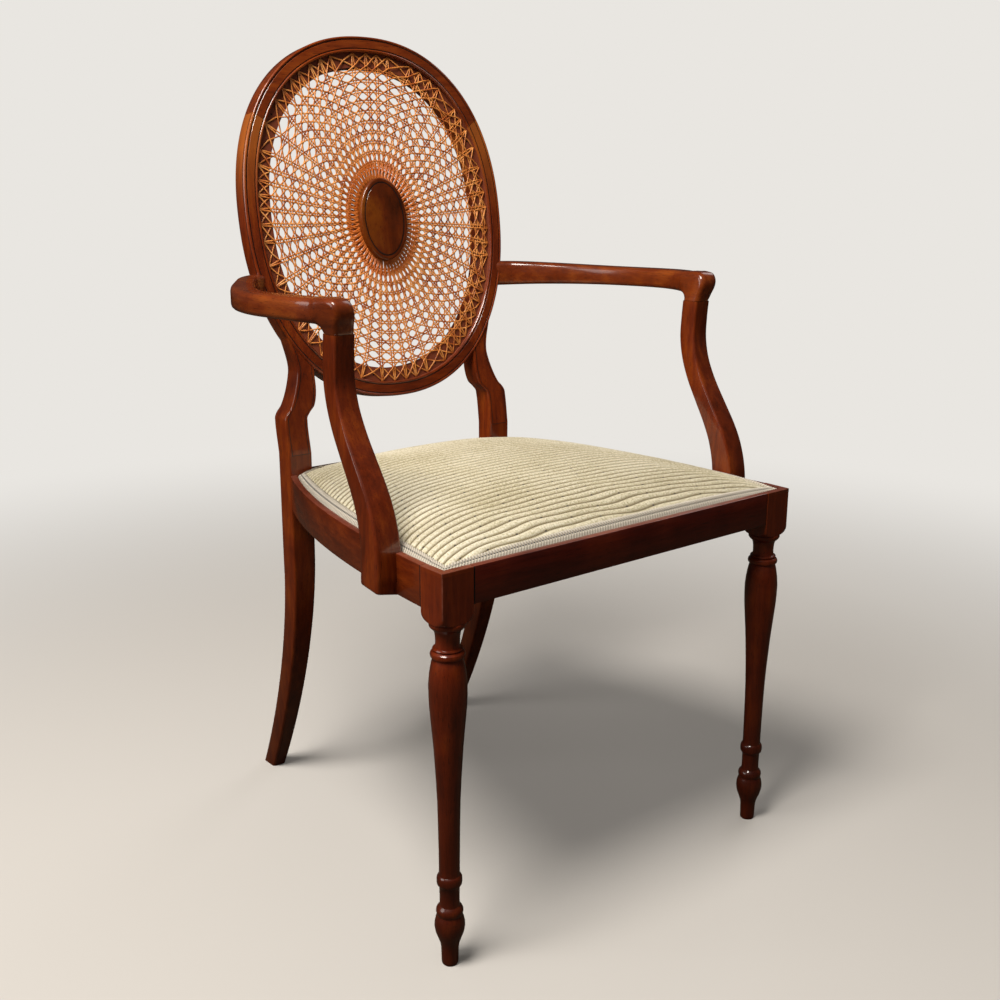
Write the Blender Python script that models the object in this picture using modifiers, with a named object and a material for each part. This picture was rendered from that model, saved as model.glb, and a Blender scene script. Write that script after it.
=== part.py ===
"""Cane back elbow chair: an oval caned back, shaped arms on swept supports and an upholstered seat.

Metres, +Z up. The chair faces -Y, and its left side, as seen from the front, is at -X.
The frame's origin is on the floor, under the middle of the whole chair.
"""

import math

import bmesh
import bpy
from mathutils import Matrix, Vector

# Seat frame
SEAT_HEIGHT = 0.415
SEAT_DEPTH = 0.386
FRONT_SPAN = 0.455
FRONT_RAIL_DROP = 0.037
SIDE_RAIL_DROP = 0.041
REAR_RAIL_DROP = 0.050
FRONT_RAIL_THICKNESS = 0.022
SIDE_RAIL_THICKNESS = 0.024
REAR_RAIL_THICKNESS = 0.024
FRONT_RAIL_SETBACK = 0.0005
SIDE_RAIL_SETBACK = 0.0005
TENON_SHOULDER = 0.006
TENON_LENGTH = 0.012
REAR_TENON_SHOULDER = 0.0048
REAR_TENON_LENGTH = 0.0065
REBATE_MARGIN = 0.0075
REAR_MARGIN = 0.0175
REBATE_DEPTH = 0.004

# Front legs
LEG_BLOCK_WIDTH = 0.037
LEG_BLOCK_DEPTH = 0.034
LEG_BLOCK_HEIGHT = 0.045
LEG_BLOCK_SOFTENING = 0.006
LEG_COLLAR_RADIUS = 0.0176
LEG_NECK_RADIUS = 0.0117
LEG_RING_RADIUS = 0.0168
LEG_VASE_RADIUS = 0.0186
LEG_SHAFT_RADIUS = 0.0103
LEG_LOW_RING_RADIUS = 0.0127
LEG_CYLINDER_RADIUS = 0.0100
LEG_FLARE_RADIUS = 0.0136
LEG_BULB_RADIUS = 0.0152
LEG_FOOT_RADIUS = 0.0083

# Rear posts
POST_SPAN = 0.332
POST_WIDTH = 0.030
POST_DEPTH = 0.0265
POST_CHAMFER = 0.0022
RAKE = math.radians(9.0)
RAKE_RISE = 0.024
KNEE_RISE = 0.064
WAIST_SPAN = 0.284
SABRE_HEIGHT = 0.310
SABRE_SWEEP = 0.0935
REAR_FOOT_SPAN = 0.312
REAR_FOOT_WIDTH = 0.0185
REAR_FOOT_CHAMFER = 0.005

# Oval of the back
OVAL_CLEARANCE = 0.0767
OVAL_HALF_WIDTH = 0.1846
OVAL_HALF_HEIGHT = 0.2149
OVAL_THICKNESS = 0.022
OVAL_FACE = 0.018
OVAL_LEDGE = 0.017
OVAL_LEDGE_DEPTH = 0.006
OVAL_PROUD = 0.0015
OVAL_CHAMFER = 0.002
BOSS_HALF_WIDTH = 0.0335
BOSS_HALF_HEIGHT = 0.0493
BOSS_FRONT_THICKNESS = 0.007
BOSS_BACK_THICKNESS = 0.004
BOSS_EDGE = 0.002
CANE_THICKNESS = 0.0018
CANE_STRAND = 0.0024
CANE_LAP = 0.012
CANE_TUCK = 0.007

# Arms
ARM_HEIGHT = 0.6465
ARM_THICKNESS = 0.0255
ARM_ROOT_HEIGHT = 0.031
ARM_ROOT_WIDTH = 0.0185
ARM_WIDTH = 0.0275
ARM_CHAMFER = 0.005
ARM_JOINT_Y = 0.138
ARM_FILLET = 0.005
ARM_TOE = 0.008
ARM_SINK = 0.004
ARM_JOINT_DROP = 0.0325
SUPPORT_SPREAD = 0.043
ARM_SPREAD = 0.037
SUPPORT_TOP_WIDTH = 0.023
SUPPORT_WIDTH = 0.0315
SUPPORT_CHAMFER = 0.006
SUPPORT_FORWARD = 0.064
SUPPORT_OVERHANG = 0.004

# Upholstery
COVER_THICKNESS = 0.0015
COVER_EDGE_RISE = 0.0045
COVER_CROWN_RISE = 0.031
GIMP_WIDTH = 0.0020
GIMP_RISE = 0.0085
WEB_WIDTH = 0.050
WEB_THICKNESS = 0.0015
HESSIAN_THICKNESS = 0.0010

# Blocks and fixings
BRACE_LEG = 0.046
BRACE_HEIGHT = 0.034
SCREW_LENGTH = 0.030
SCREW_RADIUS = 0.0020
SCREW_HEAD_RADIUS = 0.0040
SCREW_HEAD_HEIGHT = 0.0028
SCREW_SINK = 0.006
DOWEL_RADIUS = 0.004
DOWEL_LENGTH = 0.030
ROOT_DOWEL_RADIUS = 0.003
ROOT_DOWEL_LENGTH = 0.024
ROOT_DOWEL_SLANT = math.radians(23.0)
SCREW_PITCH = 0.019

# Fit and fineness
GAP = 0.0003
OVERRUN = 0.010
TURNED_STEPS = 16
ROUND_STEPS = 10
CANE_RADIALS = 36
CANE_ROWS = 6
COVER_SIDE_POINTS = 9

# Shares, chosen by hand, of the sizes that they follow
OVAL_ROUND_SHARE = 0.903
OVAL_EGG_SHARE = 0.026
OVAL_JOIN_SHARE = 0.585
CREST_JOINT_SHARE = 0.18
LOWER_JOINT_SHARE = 0.7644
BASE_WIDTH_SHARE = 0.5
SABRE_POWER_SHARE = 1.7
SABRE_STATION_SHARES = (0.0, 0.08, 0.17, 0.27, 0.38, 0.50, 0.63, 0.77, 0.90, 1.0)

# How far up from knee to oval, how far over (0 knee, 1 waist, 2 oval edge), width and depth of the post
POST_CURVE_SHARES = (
    (0.00, 0.00, 1.00, 1.00),
    (0.07, 0.14, 1.05, 1.00),
    (0.14, 0.41, 1.06, 1.00),
    (0.30, 0.73, 0.95, 0.97),
    (0.50, 0.98, 0.76, 0.94),
    (0.60, 1.00, 0.745, 0.92),
    (0.73, 1.20, 0.74, 0.88),
    (0.87, 1.56, 0.58, 0.78),
    (1.00, 1.86, 0.40, 0.68),
)

# Control points of the side rail's outer curve: out from the post's side, and back from the leg block
SIDE_CURVE_SHARES = ((1.0, 0.0), (0.9125, 0.303), (0.6375, 0.698), (0.0, 1.0))

# Plan of the arm: out from the post's side to the widest place, and forward from the post to the front end
ARM_PLAN_SHARES = (
    (0.22, 0.058),
    (0.50, 0.188),
    (0.74, 0.322),
    (0.90, 0.452),
    (1.00, 0.609),
    (0.99, 0.781),
    (0.955, 0.870),
)

# Front end of the arm: turn from level to upright, and its thickness there beside the support's
SCROLL_SHARE = 0.86
ARM_SCROLL_SHARES = (
    (0.00, 1.196),
    (0.22, 1.28),
    (0.38, 1.48),
    (0.50, 1.64),
    (0.60, 1.64),
    (0.70, 1.50),
    (0.84, 1.19),
    (1.00, 1.00),
)

# Arm support: height from foot to joint, place forward of the joint, and width between foot and top
SUPPORT_SHARES = (
    (0.00, 0.960, 0.72),
    (0.03, 0.980, 0.90),
    (0.09, 1.010, 0.97),
    (0.22, 1.000, 1.00),
    (0.33, 0.890, 1.00),
    (0.42, 0.720, 0.96),
    (0.52, 0.470, 0.88),
    (0.62, 0.220, 0.81),
    (0.72, 0.050, 0.76),
    (0.82, -0.030, 0.74),
    (0.92, -0.025, 0.73),
    (1.00, 0.000, 0.73),
)

# Turned leg: height as a share of the leg under its block, and which radius times which share
LEG_PROFILE_SHARES = (
    (0.998, LEG_COLLAR_RADIUS, 0.94),
    (0.990, LEG_COLLAR_RADIUS, 1.00),
    (0.975, LEG_COLLAR_RADIUS, 0.97),
    (0.968, LEG_COLLAR_RADIUS, 0.84),
    (0.953, LEG_NECK_RADIUS, 1.07),
    (0.935, LEG_NECK_RADIUS, 1.00),
    (0.922, LEG_NECK_RADIUS, 1.18),
    (0.916, LEG_RING_RADIUS, 0.92),
    (0.907, LEG_RING_RADIUS, 1.00),
    (0.898, LEG_RING_RADIUS, 0.92),
    (0.892, LEG_RING_RADIUS, 0.85),
    (0.869, LEG_VASE_RADIUS, 0.87),
    (0.845, LEG_VASE_RADIUS, 0.955),
    (0.810, LEG_VASE_RADIUS, 1.00),
    (0.751, LEG_VASE_RADIUS, 0.968),
    (0.670, LEG_VASE_RADIUS, 0.825),
    (0.589, LEG_VASE_RADIUS, 0.715),
    (0.481, LEG_SHAFT_RADIUS, 1.10),
    (0.289, LEG_SHAFT_RADIUS, 1.00),
    (0.266, LEG_SHAFT_RADIUS, 1.02),
    (0.260, LEG_LOW_RING_RADIUS, 0.94),
    (0.251, LEG_LOW_RING_RADIUS, 1.00),
    (0.242, LEG_LOW_RING_RADIUS, 0.94),
    (0.236, LEG_CYLINDER_RADIUS, 1.00),
    (0.179, LEG_CYLINDER_RADIUS, 1.00),
    (0.171, LEG_FLARE_RADIUS, 0.93),
    (0.160, LEG_FLARE_RADIUS, 1.00),
    (0.151, LEG_FLARE_RADIUS, 0.92),
    (0.137, LEG_BULB_RADIUS, 0.93),
    (0.116, LEG_BULB_RADIUS, 1.00),
    (0.092, LEG_BULB_RADIUS, 0.88),
    (0.064, LEG_FOOT_RADIUS, 1.14),
    (0.020, LEG_FOOT_RADIUS, 1.04),
    (0.000, LEG_FOOT_RADIUS, 1.00),
)

# Points along the front edge of the seat, and rings of its cover from the edge to the middle
FRONT_EDGE_SHARES = (0.25, 0.50, 0.75)
COVER_RING_SHARES = (0.03, 0.08, 0.17, 0.30, 0.48, 0.72)
CROWN_POWER_SHARE = 2.0
WEB_LENGTHWISE_SHARES = (-0.52, 0.0, 0.52)
WEB_CROSSWISE_SHARES = (0.22, 0.48, 0.74)

# Worked out from the driving dimensions
HALF_BLOCK = LEG_BLOCK_WIDTH / 2
HALF_DEPTH = LEG_BLOCK_DEPTH / 2
LEG_X = FRONT_SPAN / 2
POST_OUTER = POST_SPAN / 2
POST_INNER = POST_OUTER - POST_WIDTH
POST_BACK = SEAT_DEPTH + POST_DEPTH
REAR_FOOT_BACK = POST_BACK + SABRE_SWEEP
CHAIR_MIDDLE = (REAR_FOOT_BACK - LEG_VASE_RADIUS) / 2
LEG_TURNED_HEIGHT = SEAT_HEIGHT - LEG_BLOCK_HEIGHT
KNEE_HEIGHT = SEAT_HEIGHT + KNEE_RISE
RAKE_HEIGHT = SEAT_HEIGHT + RAKE_RISE
OVAL_HEIGHT = SEAT_HEIGHT + OVAL_CLEARANCE + OVAL_HALF_HEIGHT * math.cos(RAKE)
OVAL_Y = SEAT_DEPTH + (OVAL_HEIGHT - RAKE_HEIGHT) * math.tan(RAKE)
OVAL_WIDTH = OVAL_FACE + OVAL_LEDGE
JOIN_HEIGHT = OVAL_HEIGHT - OVAL_HALF_HEIGHT * OVAL_JOIN_SHARE * math.cos(RAKE)
LEDGE_TOP = OVAL_PROUD - OVAL_LEDGE_DEPTH
CANE_BACK = LEDGE_TOP + GAP
CANE_FRONT = CANE_BACK + CANE_THICKNESS
RAIL_START = HALF_DEPTH + GAP
RAIL_END = SEAT_DEPTH - GAP
SIDE_REACH = LEG_X + HALF_BLOCK - SIDE_RAIL_SETBACK
REBATE_FLOOR = SEAT_HEIGHT - REBATE_DEPTH
REAR_RAIL_FRONT = POST_BACK - REAR_RAIL_THICKNESS
REAR_EDGE = POST_BACK - REAR_MARGIN
JOINT_HEIGHT = ARM_HEIGHT - ARM_JOINT_DROP
SUPPORT_X = (FRONT_SPAN + SUPPORT_SPREAD) / 2
ARM_X = SUPPORT_X + ARM_SPREAD / 2
LOWER_JOINT_X = WAIST_SPAN / 2 - POST_WIDTH * LOWER_JOINT_SHARE
SUPPORT_FOOT = SEAT_HEIGHT - SIDE_RAIL_DROP - SUPPORT_OVERHANG


def pick_collection(name):
    collection = bpy.data.collections.new(name)
    bpy.context.scene.collection.children.link(collection)
    return collection


def finish_material(name, colour, roughness, metallic=0.0):
    material = bpy.data.materials.new(name)
    material.use_nodes = True
    shader = material.node_tree.nodes["Principled BSDF"]
    shader.inputs["Base Color"].default_value = (*colour, 1.0)
    shader.inputs["Roughness"].default_value = roughness
    shader.inputs["Metallic"].default_value = metallic
    return material


def add_piece(name, bm, material, placing=None, sheet=False):
    """Make a part's object from a bmesh, in the chair's own frame or placed within it."""
    bmesh.ops.recalc_face_normals(bm, faces=bm.faces)
    if sheet and sum(face.normal.z for face in bm.faces) < 0:
        bmesh.ops.reverse_faces(bm, faces=bm.faces)
    mesh = bpy.data.meshes.new(name)
    bm.to_mesh(mesh)
    bm.free()
    mesh.materials.append(material)
    piece = bpy.data.objects.new(name, mesh)
    PARTS.objects.link(piece)
    piece.parent = CHAIR
    if placing is not None:
        piece.matrix_local = placing
    return piece


def add_guide(name, bm, placing=None):
    """Make a hidden solid that cuts a part or is joined to one."""
    guide = add_piece(name, bm, HIDDEN, placing)
    PARTS.objects.unlink(guide)
    GUIDES.objects.link(guide)
    guide.hide_render = True
    guide.display_type = "WIRE"
    return guide


def combine(piece, guide, operation="DIFFERENCE"):
    boolean = piece.modifiers.new(operation.lower(), "BOOLEAN")
    boolean.operation = operation
    boolean.object = guide
    return boolean


def box(low, high):
    bm = bmesh.new()
    bmesh.ops.create_cube(bm, size=1.0)
    low, high = Vector(low), Vector(high)
    size = high - low
    bmesh.ops.scale(bm, vec=size, verts=bm.verts)
    bmesh.ops.translate(bm, vec=(low + high) / 2, verts=bm.verts)
    return bm


def rod(start, end, radius, steps=ROUND_STEPS):
    """A closed cylinder between two points."""
    bm = bmesh.new()
    start, end = Vector(start), Vector(end)
    along = end - start
    turn = along.to_track_quat("Z", "Y").to_matrix().to_4x4()
    placing = Matrix.Translation((start + end) / 2) @ turn
    bmesh.ops.create_cone(
        bm, cap_ends=True, segments=steps, radius1=radius, radius2=radius, depth=along.length, matrix=placing
    )
    return bm


def loft(rings):
    """A closed solid through rings that all have the same number of points."""
    bm = bmesh.new()
    loops = [[bm.verts.new(point) for point in ring] for ring in rings]
    count = len(loops[0])
    for near, far in zip(loops, loops[1:]):
        for i in range(count):
            j = (i + 1) % count
            bm.faces.new((near[i], near[j], far[j], far[i]))
    bm.faces.new(loops[0])
    bm.faces.new(reversed(loops[-1]))
    return bm


def prism(outline, low, high):
    """A flat outline in plan, carried up from one height to another."""
    return loft([[(x, y, low) for x, y in outline], [(x, y, high) for x, y in outline]])


def soft_section(width, depth, chamfer):
    """A rectangle with its corners taken off, round its own middle."""
    a, b, c = width / 2, depth / 2, chamfer
    return [(a - c, -b), (a, c - b), (a, b - c), (a - c, b), (c - a, b), (-a, b - c), (-a, c - b), (c - a, -b)]


def turned(profile):
    """An upright turned piece: its radii and heights, from the top down."""
    bm = bmesh.new()
    verts = [bm.verts.new((radius, 0.0, height)) for radius, height in profile]
    for upper, lower in zip(verts, verts[1:]):
        bm.edges.new((upper, lower))
    return bm


def spin_up(piece, steps=TURNED_STEPS):
    screw = piece.modifiers.new("turned", "SCREW")
    screw.axis = "Z"
    screw.steps = steps
    screw.render_steps = steps
    screw.use_merge_vertices = True
    screw.merge_threshold = 0.00001
    return screw


def add_tenon(bm, direction, shoulder=TENON_SHOULDER, length=TENON_LENGTH):
    """Draw a tenon out of the end face that looks in the given direction."""
    bm.normal_update()
    direction = Vector(direction)
    face = max(bm.faces, key=lambda f: f.calc_center_median().dot(direction))
    bmesh.ops.inset_individual(bm, faces=[face], thickness=shoulder, use_even_offset=True)
    result = bmesh.ops.extrude_discrete_faces(bm, faces=[face])
    verts = result["faces"][0].verts[:]
    bmesh.ops.translate(bm, vec=direction * length, verts=verts)
    xs, ys, zs = zip(*(vert.co for vert in verts))
    far = Vector((min(xs), min(ys), min(zs))), Vector((max(xs), max(ys), max(zs)))
    return far


def mortise(piece, name, tenon, direction, length=TENON_LENGTH):
    """Cut the hole for a tenon, whose far end is given, with clearance on every side."""
    low, high = tenon
    direction = Vector(direction)
    clear = Vector((GAP, GAP, GAP))
    back = direction * (length + OVERRUN)
    starts = low - back, high - back
    corners = [low, high, *starts]
    lowest = Vector([min(corner[i] for corner in corners) for i in range(3)]) - clear
    highest = Vector([max(corner[i] for corner in corners) for i in range(3)]) + clear
    combine(piece, add_guide(name, box(lowest, highest)))


def blend(a, b, share):
    return a + (b - a) * share


def side_curve(u):
    """Outer edge of a side rail in plan, from the leg block to the rear post."""
    weights = ((1 - u) ** 3, 3 * u * (1 - u) ** 2, 3 * u * u * (1 - u), u**3)
    out = sum(w * share[0] for w, share in zip(weights, SIDE_CURVE_SHARES))
    back = sum(w * share[1] for w, share in zip(weights, SIDE_CURVE_SHARES))
    return blend(POST_OUTER, SIDE_REACH, out), blend(RAIL_START, RAIL_END, back)


def side_edge(y):
    """How far out the side rail's outer face is at a given place between leg and post."""
    low, high = 0.0, 1.0
    for _ in range(40):
        middle = (low + high) / 2
        if side_curve(middle)[1] < y:
            low = middle
        else:
            high = middle
    return side_curve(low)[0]


def side_slope(u, step=0.01):
    """Stretch of the rail's thickness across X where the rail runs at a slant."""
    x0, y0 = side_curve(max(u - step, 0.0))
    x1, y1 = side_curve(min(u + step, 1.0))
    return math.hypot(x1 - x0, y1 - y0) / (y1 - y0)


def side_inner(u):
    x, y = side_curve(u)
    return x - min(SIDE_RAIL_THICKNESS * side_slope(u), POST_WIDTH), y


def side_inner_at(y):
    """How far out the side rail's inner face is at a given place between leg and post."""
    low, high = 0.0, 1.0
    for _ in range(40):
        middle = (low + high) / 2
        if side_curve(middle)[1] < y:
            low = middle
        else:
            high = middle
    return side_inner(low)[0]


def seat_outline(inset):
    """Edge of the rebate for the upholstery, moved in by an inset. It goes round from the front right."""
    margin = REBATE_MARGIN + inset
    front = margin - HALF_DEPTH
    corner = LEG_X + HALF_BLOCK - margin
    side_points = COVER_SIDE_POINTS
    half = [(corner * share, front) for share in FRONT_EDGE_SHARES]
    half.append((corner - BOSS_EDGE, front))
    half.append((corner, front + BOSS_EDGE))
    half.append((corner, RAIL_START))
    for i in range(1, side_points):
        x, y = side_curve(i / side_points)
        half.append((x - margin * side_slope(i / side_points), y))
    notch_front = SEAT_DEPTH - GAP - inset
    half.append((side_edge(notch_front) - margin * side_slope(0.96), notch_front))
    half.append((POST_INNER - GAP - inset, notch_front))
    half.append((POST_INNER - GAP - inset, REAR_EDGE - inset))
    half.append((POST_INNER / 2, REAR_EDGE - inset))
    mirrored = [(-x, y) for x, y in reversed(half)]
    return half + [(0.0, REAR_EDGE - inset)] + mirrored + [(0.0, front)]


def oval_point(angle, offset):
    """Point on the oval, moved in from its outer edge. X across the back and Y up along it."""
    c, s = math.cos(angle), math.sin(angle)
    half_width, half_height = OVAL_HALF_WIDTH - offset, OVAL_HALF_HEIGHT - offset
    across = half_width * math.copysign(abs(c) ** OVAL_ROUND_SHARE, c) * (1 + OVAL_EGG_SHARE * s)
    return across, half_height * math.copysign(abs(s) ** OVAL_ROUND_SHARE, s)


def oval_edge(height):
    """Outer edge of the oval, across the back, at a height above the floor in its lower half."""
    up = (OVAL_HEIGHT - height) / (math.cos(RAKE) * OVAL_HALF_HEIGHT)
    angle = -math.asin(up ** (1 / OVAL_ROUND_SHARE))
    return oval_point(angle, 0.0)[0]


def angle_across(across, offset):
    """Angle in the lower right quarter at which the oval is this far from the middle."""
    low, high = -math.pi / 2, 0.0
    for _ in range(40):
        middle = (low + high) / 2
        if oval_point(middle, offset)[0] < across:
            low = middle
        else:
            high = middle
    return low


def oval_arc(start, end, steps, side=1, grow=0.0):
    """Solid stretch of the oval frame. start and end give the angle of the cut at each offset."""
    ledge, front, back = LEDGE_TOP, OVAL_PROUD + grow, OVAL_PROUD - OVAL_THICKNESS - grow
    c = OVAL_CHAMFER
    section = [
        (-grow, back + c),
        (-grow, front - c),
        (c - grow, front),
        (OVAL_FACE, front),
        (OVAL_FACE, ledge),
        (OVAL_WIDTH, ledge),
        (OVAL_WIDTH, back),
        (c - grow, back),
    ]
    rings = []
    for i in range(steps + 1):
        ring = []
        for offset, depth in section:
            angle = blend(start(offset), end(offset), i / steps)
            across, up = oval_point(angle, offset)
            ring.append((side * across, up, depth))
        rings.append(ring)
    return loft(rings)


def lower_cut(gap):
    """Upright cut between the right post and the lower rail."""
    return lambda offset: angle_across(LOWER_JOINT_X + gap, offset)


def crest_cut(gap):
    """Cut across the frame between the right post and the crest rail."""
    angle = math.pi * CREST_JOINT_SHARE + gap / OVAL_HALF_WIDTH
    return lambda offset: angle


def opposite(cut, turn):
    """The same cut on the left, for an arc that runs on over the middle of the back."""
    return lambda offset: turn - cut(offset)


def make_front_leg(side, name):
    """One turned leg with the square block that takes the rails."""
    x = side * LEG_X
    bottom = LEG_TURNED_HEIGHT
    block = box((x - HALF_BLOCK, -HALF_DEPTH, bottom), (x + HALF_BLOCK, HALF_DEPTH, SEAT_HEIGHT))
    low_edges = [edge for edge in block.edges if all(vert.co.z < SEAT_HEIGHT - GAP for vert in edge.verts)]
    bmesh.ops.bevel(
        block, geom=low_edges, offset=LEG_BLOCK_SOFTENING, segments=2, profile=0.5, affect="EDGES", material=-1
    )
    leg = add_piece(name, block, MAHOGANY)
    profile = [(0.0, bottom + OVERRUN), (LEG_COLLAR_RADIUS * 0.9, bottom + OVERRUN)]
    profile += [(radius * share, height * bottom) for height, radius, share in LEG_PROFILE_SHARES]
    profile.append((0.0, 0.0))
    turning = add_guide(name + "_turning", turned(profile), Matrix.Translation((x, 0.0, 0.0)))
    spin_up(turning)
    combine(leg, turning, "UNION")
    return leg


def post_rings(side):
    """Level sections of a rear post, from its foot up into the oval."""
    rings = []

    def ring(outer, width, front, depth, height, chamfer):
        middle = side * (outer - width / 2)
        points = soft_section(width, depth, chamfer)
        rings.append([(middle + x, front + depth / 2 + y, height) for x, y in points])

    for share in SABRE_STATION_SHARES:
        swept = SABRE_SWEEP * (1 - share) ** SABRE_POWER_SHARE
        outer = blend(REAR_FOOT_SPAN / 2, POST_OUTER, share)
        width = blend(REAR_FOOT_WIDTH, POST_WIDTH, share)
        chamfer = blend(REAR_FOOT_CHAMFER, POST_CHAMFER, share)
        ring(outer, width, SEAT_DEPTH + swept, POST_DEPTH, SABRE_HEIGHT * share, chamfer)
    ring(POST_OUTER, POST_WIDTH, SEAT_DEPTH, POST_DEPTH, RAKE_HEIGHT, POST_CHAMFER)
    for rise, over, wide, deep in POST_CURVE_SHARES:
        height = blend(KNEE_HEIGHT, JOIN_HEIGHT, rise)
        if over < 1:
            outer = blend(POST_OUTER, WAIST_SPAN / 2, over)
        else:
            outer = blend(WAIST_SPAN / 2, oval_edge(JOIN_HEIGHT), over - 1)
        front = SEAT_DEPTH + (height - RAKE_HEIGHT) * math.tan(RAKE)
        ring(outer, POST_WIDTH * wide, front, POST_DEPTH * deep, height, POST_CHAMFER)
    return rings


def make_rear_post(side, name):
    """Sabre leg, S-shaped post and the side of the oval, all sawn from one plank."""
    post = add_piece(name, loft(post_rings(side)), MAHOGANY)
    arc = oval_arc(lower_cut(GAP), crest_cut(0.0), 26, side)
    combine(post, add_guide(name + "_oval_side", arc, BACK), "UNION")
    return post


def make_oval_rails():
    crest = oval_arc(crest_cut(GAP), opposite(crest_cut(GAP), math.pi), 30)
    lower = oval_arc(opposite(lower_cut(0.0), -math.pi), lower_cut(0.0), 18)
    return add_piece("crest_rail", crest, MAHOGANY_DARK, BACK), add_piece("lower_back_rail", lower, MAHOGANY, BACK)


def peg(name, start, end, hosts, placing=None, radius=DOWEL_RADIUS):
    """A dowel in a bore that is cut in each piece that it joins."""
    start, end = Vector(start), Vector(end)
    along = (end - start).normalized() * GAP
    add_piece(name, rod(start, end, radius), BEECH, placing)
    bore = add_guide(name + "_bore", rod(start - along, end + along, radius + GAP), placing)
    for host in hosts:
        combine(host, bore)


def make_oval_pegs(posts, crest, lower):
    depth = OVAL_PROUD - OVAL_LEDGE_DEPTH - (OVAL_THICKNESS - OVAL_LEDGE_DEPTH) / 2
    middle = OVAL_WIDTH / 2
    for side, word in ((-1, "left"), (1, "right")):
        across, up = oval_point(math.pi * CREST_JOINT_SHARE, middle)
        x1, y1 = oval_point(math.pi * CREST_JOINT_SHARE + CANE_TUCK, middle)
        tangent = Vector((x1 - across, y1 - up, 0.0)).normalized() * (DOWEL_LENGTH / 2)
        centre = Vector((side * across, up, depth))
        tangent.x *= side
        peg(f"crest_dowel_{word}", centre - tangent, centre + tangent, (posts[word], crest), BACK)
        angle = angle_across(LOWER_JOINT_X, middle)
        across, up = oval_point(angle, middle)
        x1, y1 = oval_point(angle + CANE_TUCK, middle)
        tangent = Vector((x1 - across, y1 - up, 0.0)).normalized() * (DOWEL_LENGTH / 2)
        centre = Vector((side * across, up, depth))
        tangent.x *= side
        peg(f"lower_rail_dowel_{word}", centre - tangent, centre + tangent, (posts[word], lower), BACK)


def make_cane_panel():
    """The woven panel as a net: strands from the boss outward, crossed by rings."""
    bm = bmesh.new()
    reach = OVAL_WIDTH - CANE_LAP
    inner_width, inner_height = BOSS_HALF_WIDTH - CANE_TUCK, BOSS_HALF_HEIGHT - CANE_TUCK
    grid = []
    for row in range(CANE_ROWS + 1):
        share = row / CANE_ROWS
        ring = []
        for i in range(CANE_RADIALS):
            angle = 2 * math.pi * i / CANE_RADIALS
            across, up = oval_point(angle, reach)
            near = Vector((inner_width * math.cos(angle), inner_height * math.sin(angle), CANE_BACK))
            far = Vector((across, up, CANE_BACK))
            ring.append(bm.verts.new(near.lerp(far, share)))
        grid.append(ring)
    for near, far in zip(grid, grid[1:]):
        for i in range(CANE_RADIALS):
            j = (i + 1) % CANE_RADIALS
            bm.faces.new((near[i], far[i], far[j], near[j]))
    bm.normal_update()
    gaps = bm.faces[:]
    bmesh.ops.inset_individual(bm, faces=gaps, thickness=CANE_STRAND / 2, use_even_offset=True)
    bmesh.ops.delete(bm, geom=gaps, context="FACES")
    panel = add_piece("cane_panel", bm, CANE, BACK, sheet=True)
    shell = panel.modifiers.new("thickness", "SOLIDIFY")
    shell.thickness = CANE_THICKNESS
    shell.offset = 1.0
    return panel


def make_boss(name, low, high):
    """Oval disc in the middle of the cane, with its rim eased."""
    bm = bmesh.new()
    bmesh.ops.create_cone(
        bm, cap_ends=True, segments=2 * TURNED_STEPS, radius1=1.0, radius2=1.0, depth=high - low
    )
    bmesh.ops.scale(bm, vec=(BOSS_HALF_WIDTH, BOSS_HALF_HEIGHT, 1.0), verts=bm.verts)
    bmesh.ops.translate(bm, vec=(0.0, 0.0, (low + high) / 2), verts=bm.verts)
    rim = [edge for edge in bm.edges if abs(edge.verts[0].co.z - edge.verts[1].co.z) < GAP]
    bmesh.ops.bevel(bm, geom=rim, offset=BOSS_EDGE / 2, segments=1, profile=0.5, affect="EDGES", material=-1)
    return add_piece(name, bm, MAHOGANY_DARK, BACK)


def make_front_rail():
    shoulder = LEG_X - HALF_BLOCK - GAP
    front = FRONT_RAIL_SETBACK - HALF_DEPTH
    bottom = SEAT_HEIGHT - FRONT_RAIL_DROP
    bm = box((-shoulder, front, bottom), (shoulder, front + FRONT_RAIL_THICKNESS, SEAT_HEIGHT))
    tenons = {"left": add_tenon(bm, (-1, 0, 0)), "right": add_tenon(bm, (1, 0, 0))}
    return add_piece("front_rail", bm, MAHOGANY_DARK), tenons


def make_rear_rail():
    shoulder = POST_INNER - GAP
    bottom = SEAT_HEIGHT - REAR_RAIL_DROP
    bm = box((-shoulder, REAR_RAIL_FRONT, bottom), (shoulder, POST_BACK, SEAT_HEIGHT))
    shoulder = REAR_TENON_SHOULDER
    tenons = {"left": add_tenon(bm, (-1, 0, 0), shoulder), "right": add_tenon(bm, (1, 0, 0), shoulder)}
    return add_piece("rear_rail", bm, MAHOGANY), tenons


def make_side_rail(side, name):
    """Side rail, sawn to a bow in plan, with a tenon at each end."""
    bottom = SEAT_HEIGHT - SIDE_RAIL_DROP
    rings = []
    steps = 14
    for i in range(steps + 1):
        (outer, y), (inner, _) = side_curve(i / steps), side_inner(i / steps)
        rings.append(
            [(side * outer, y, bottom), (side * outer, y, SEAT_HEIGHT), (side * inner, y, SEAT_HEIGHT),
             (side * inner, y, bottom)]
        )
    bm = loft(rings)
    bmesh.ops.recalc_face_normals(bm, faces=bm.faces)
    tenons = {"front": add_tenon(bm, (0, -1, 0)), "rear": add_tenon(bm, (0, 1, 0), length=REAR_TENON_LENGTH)}
    return add_piece(name, bm, MAHOGANY), tenons


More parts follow.
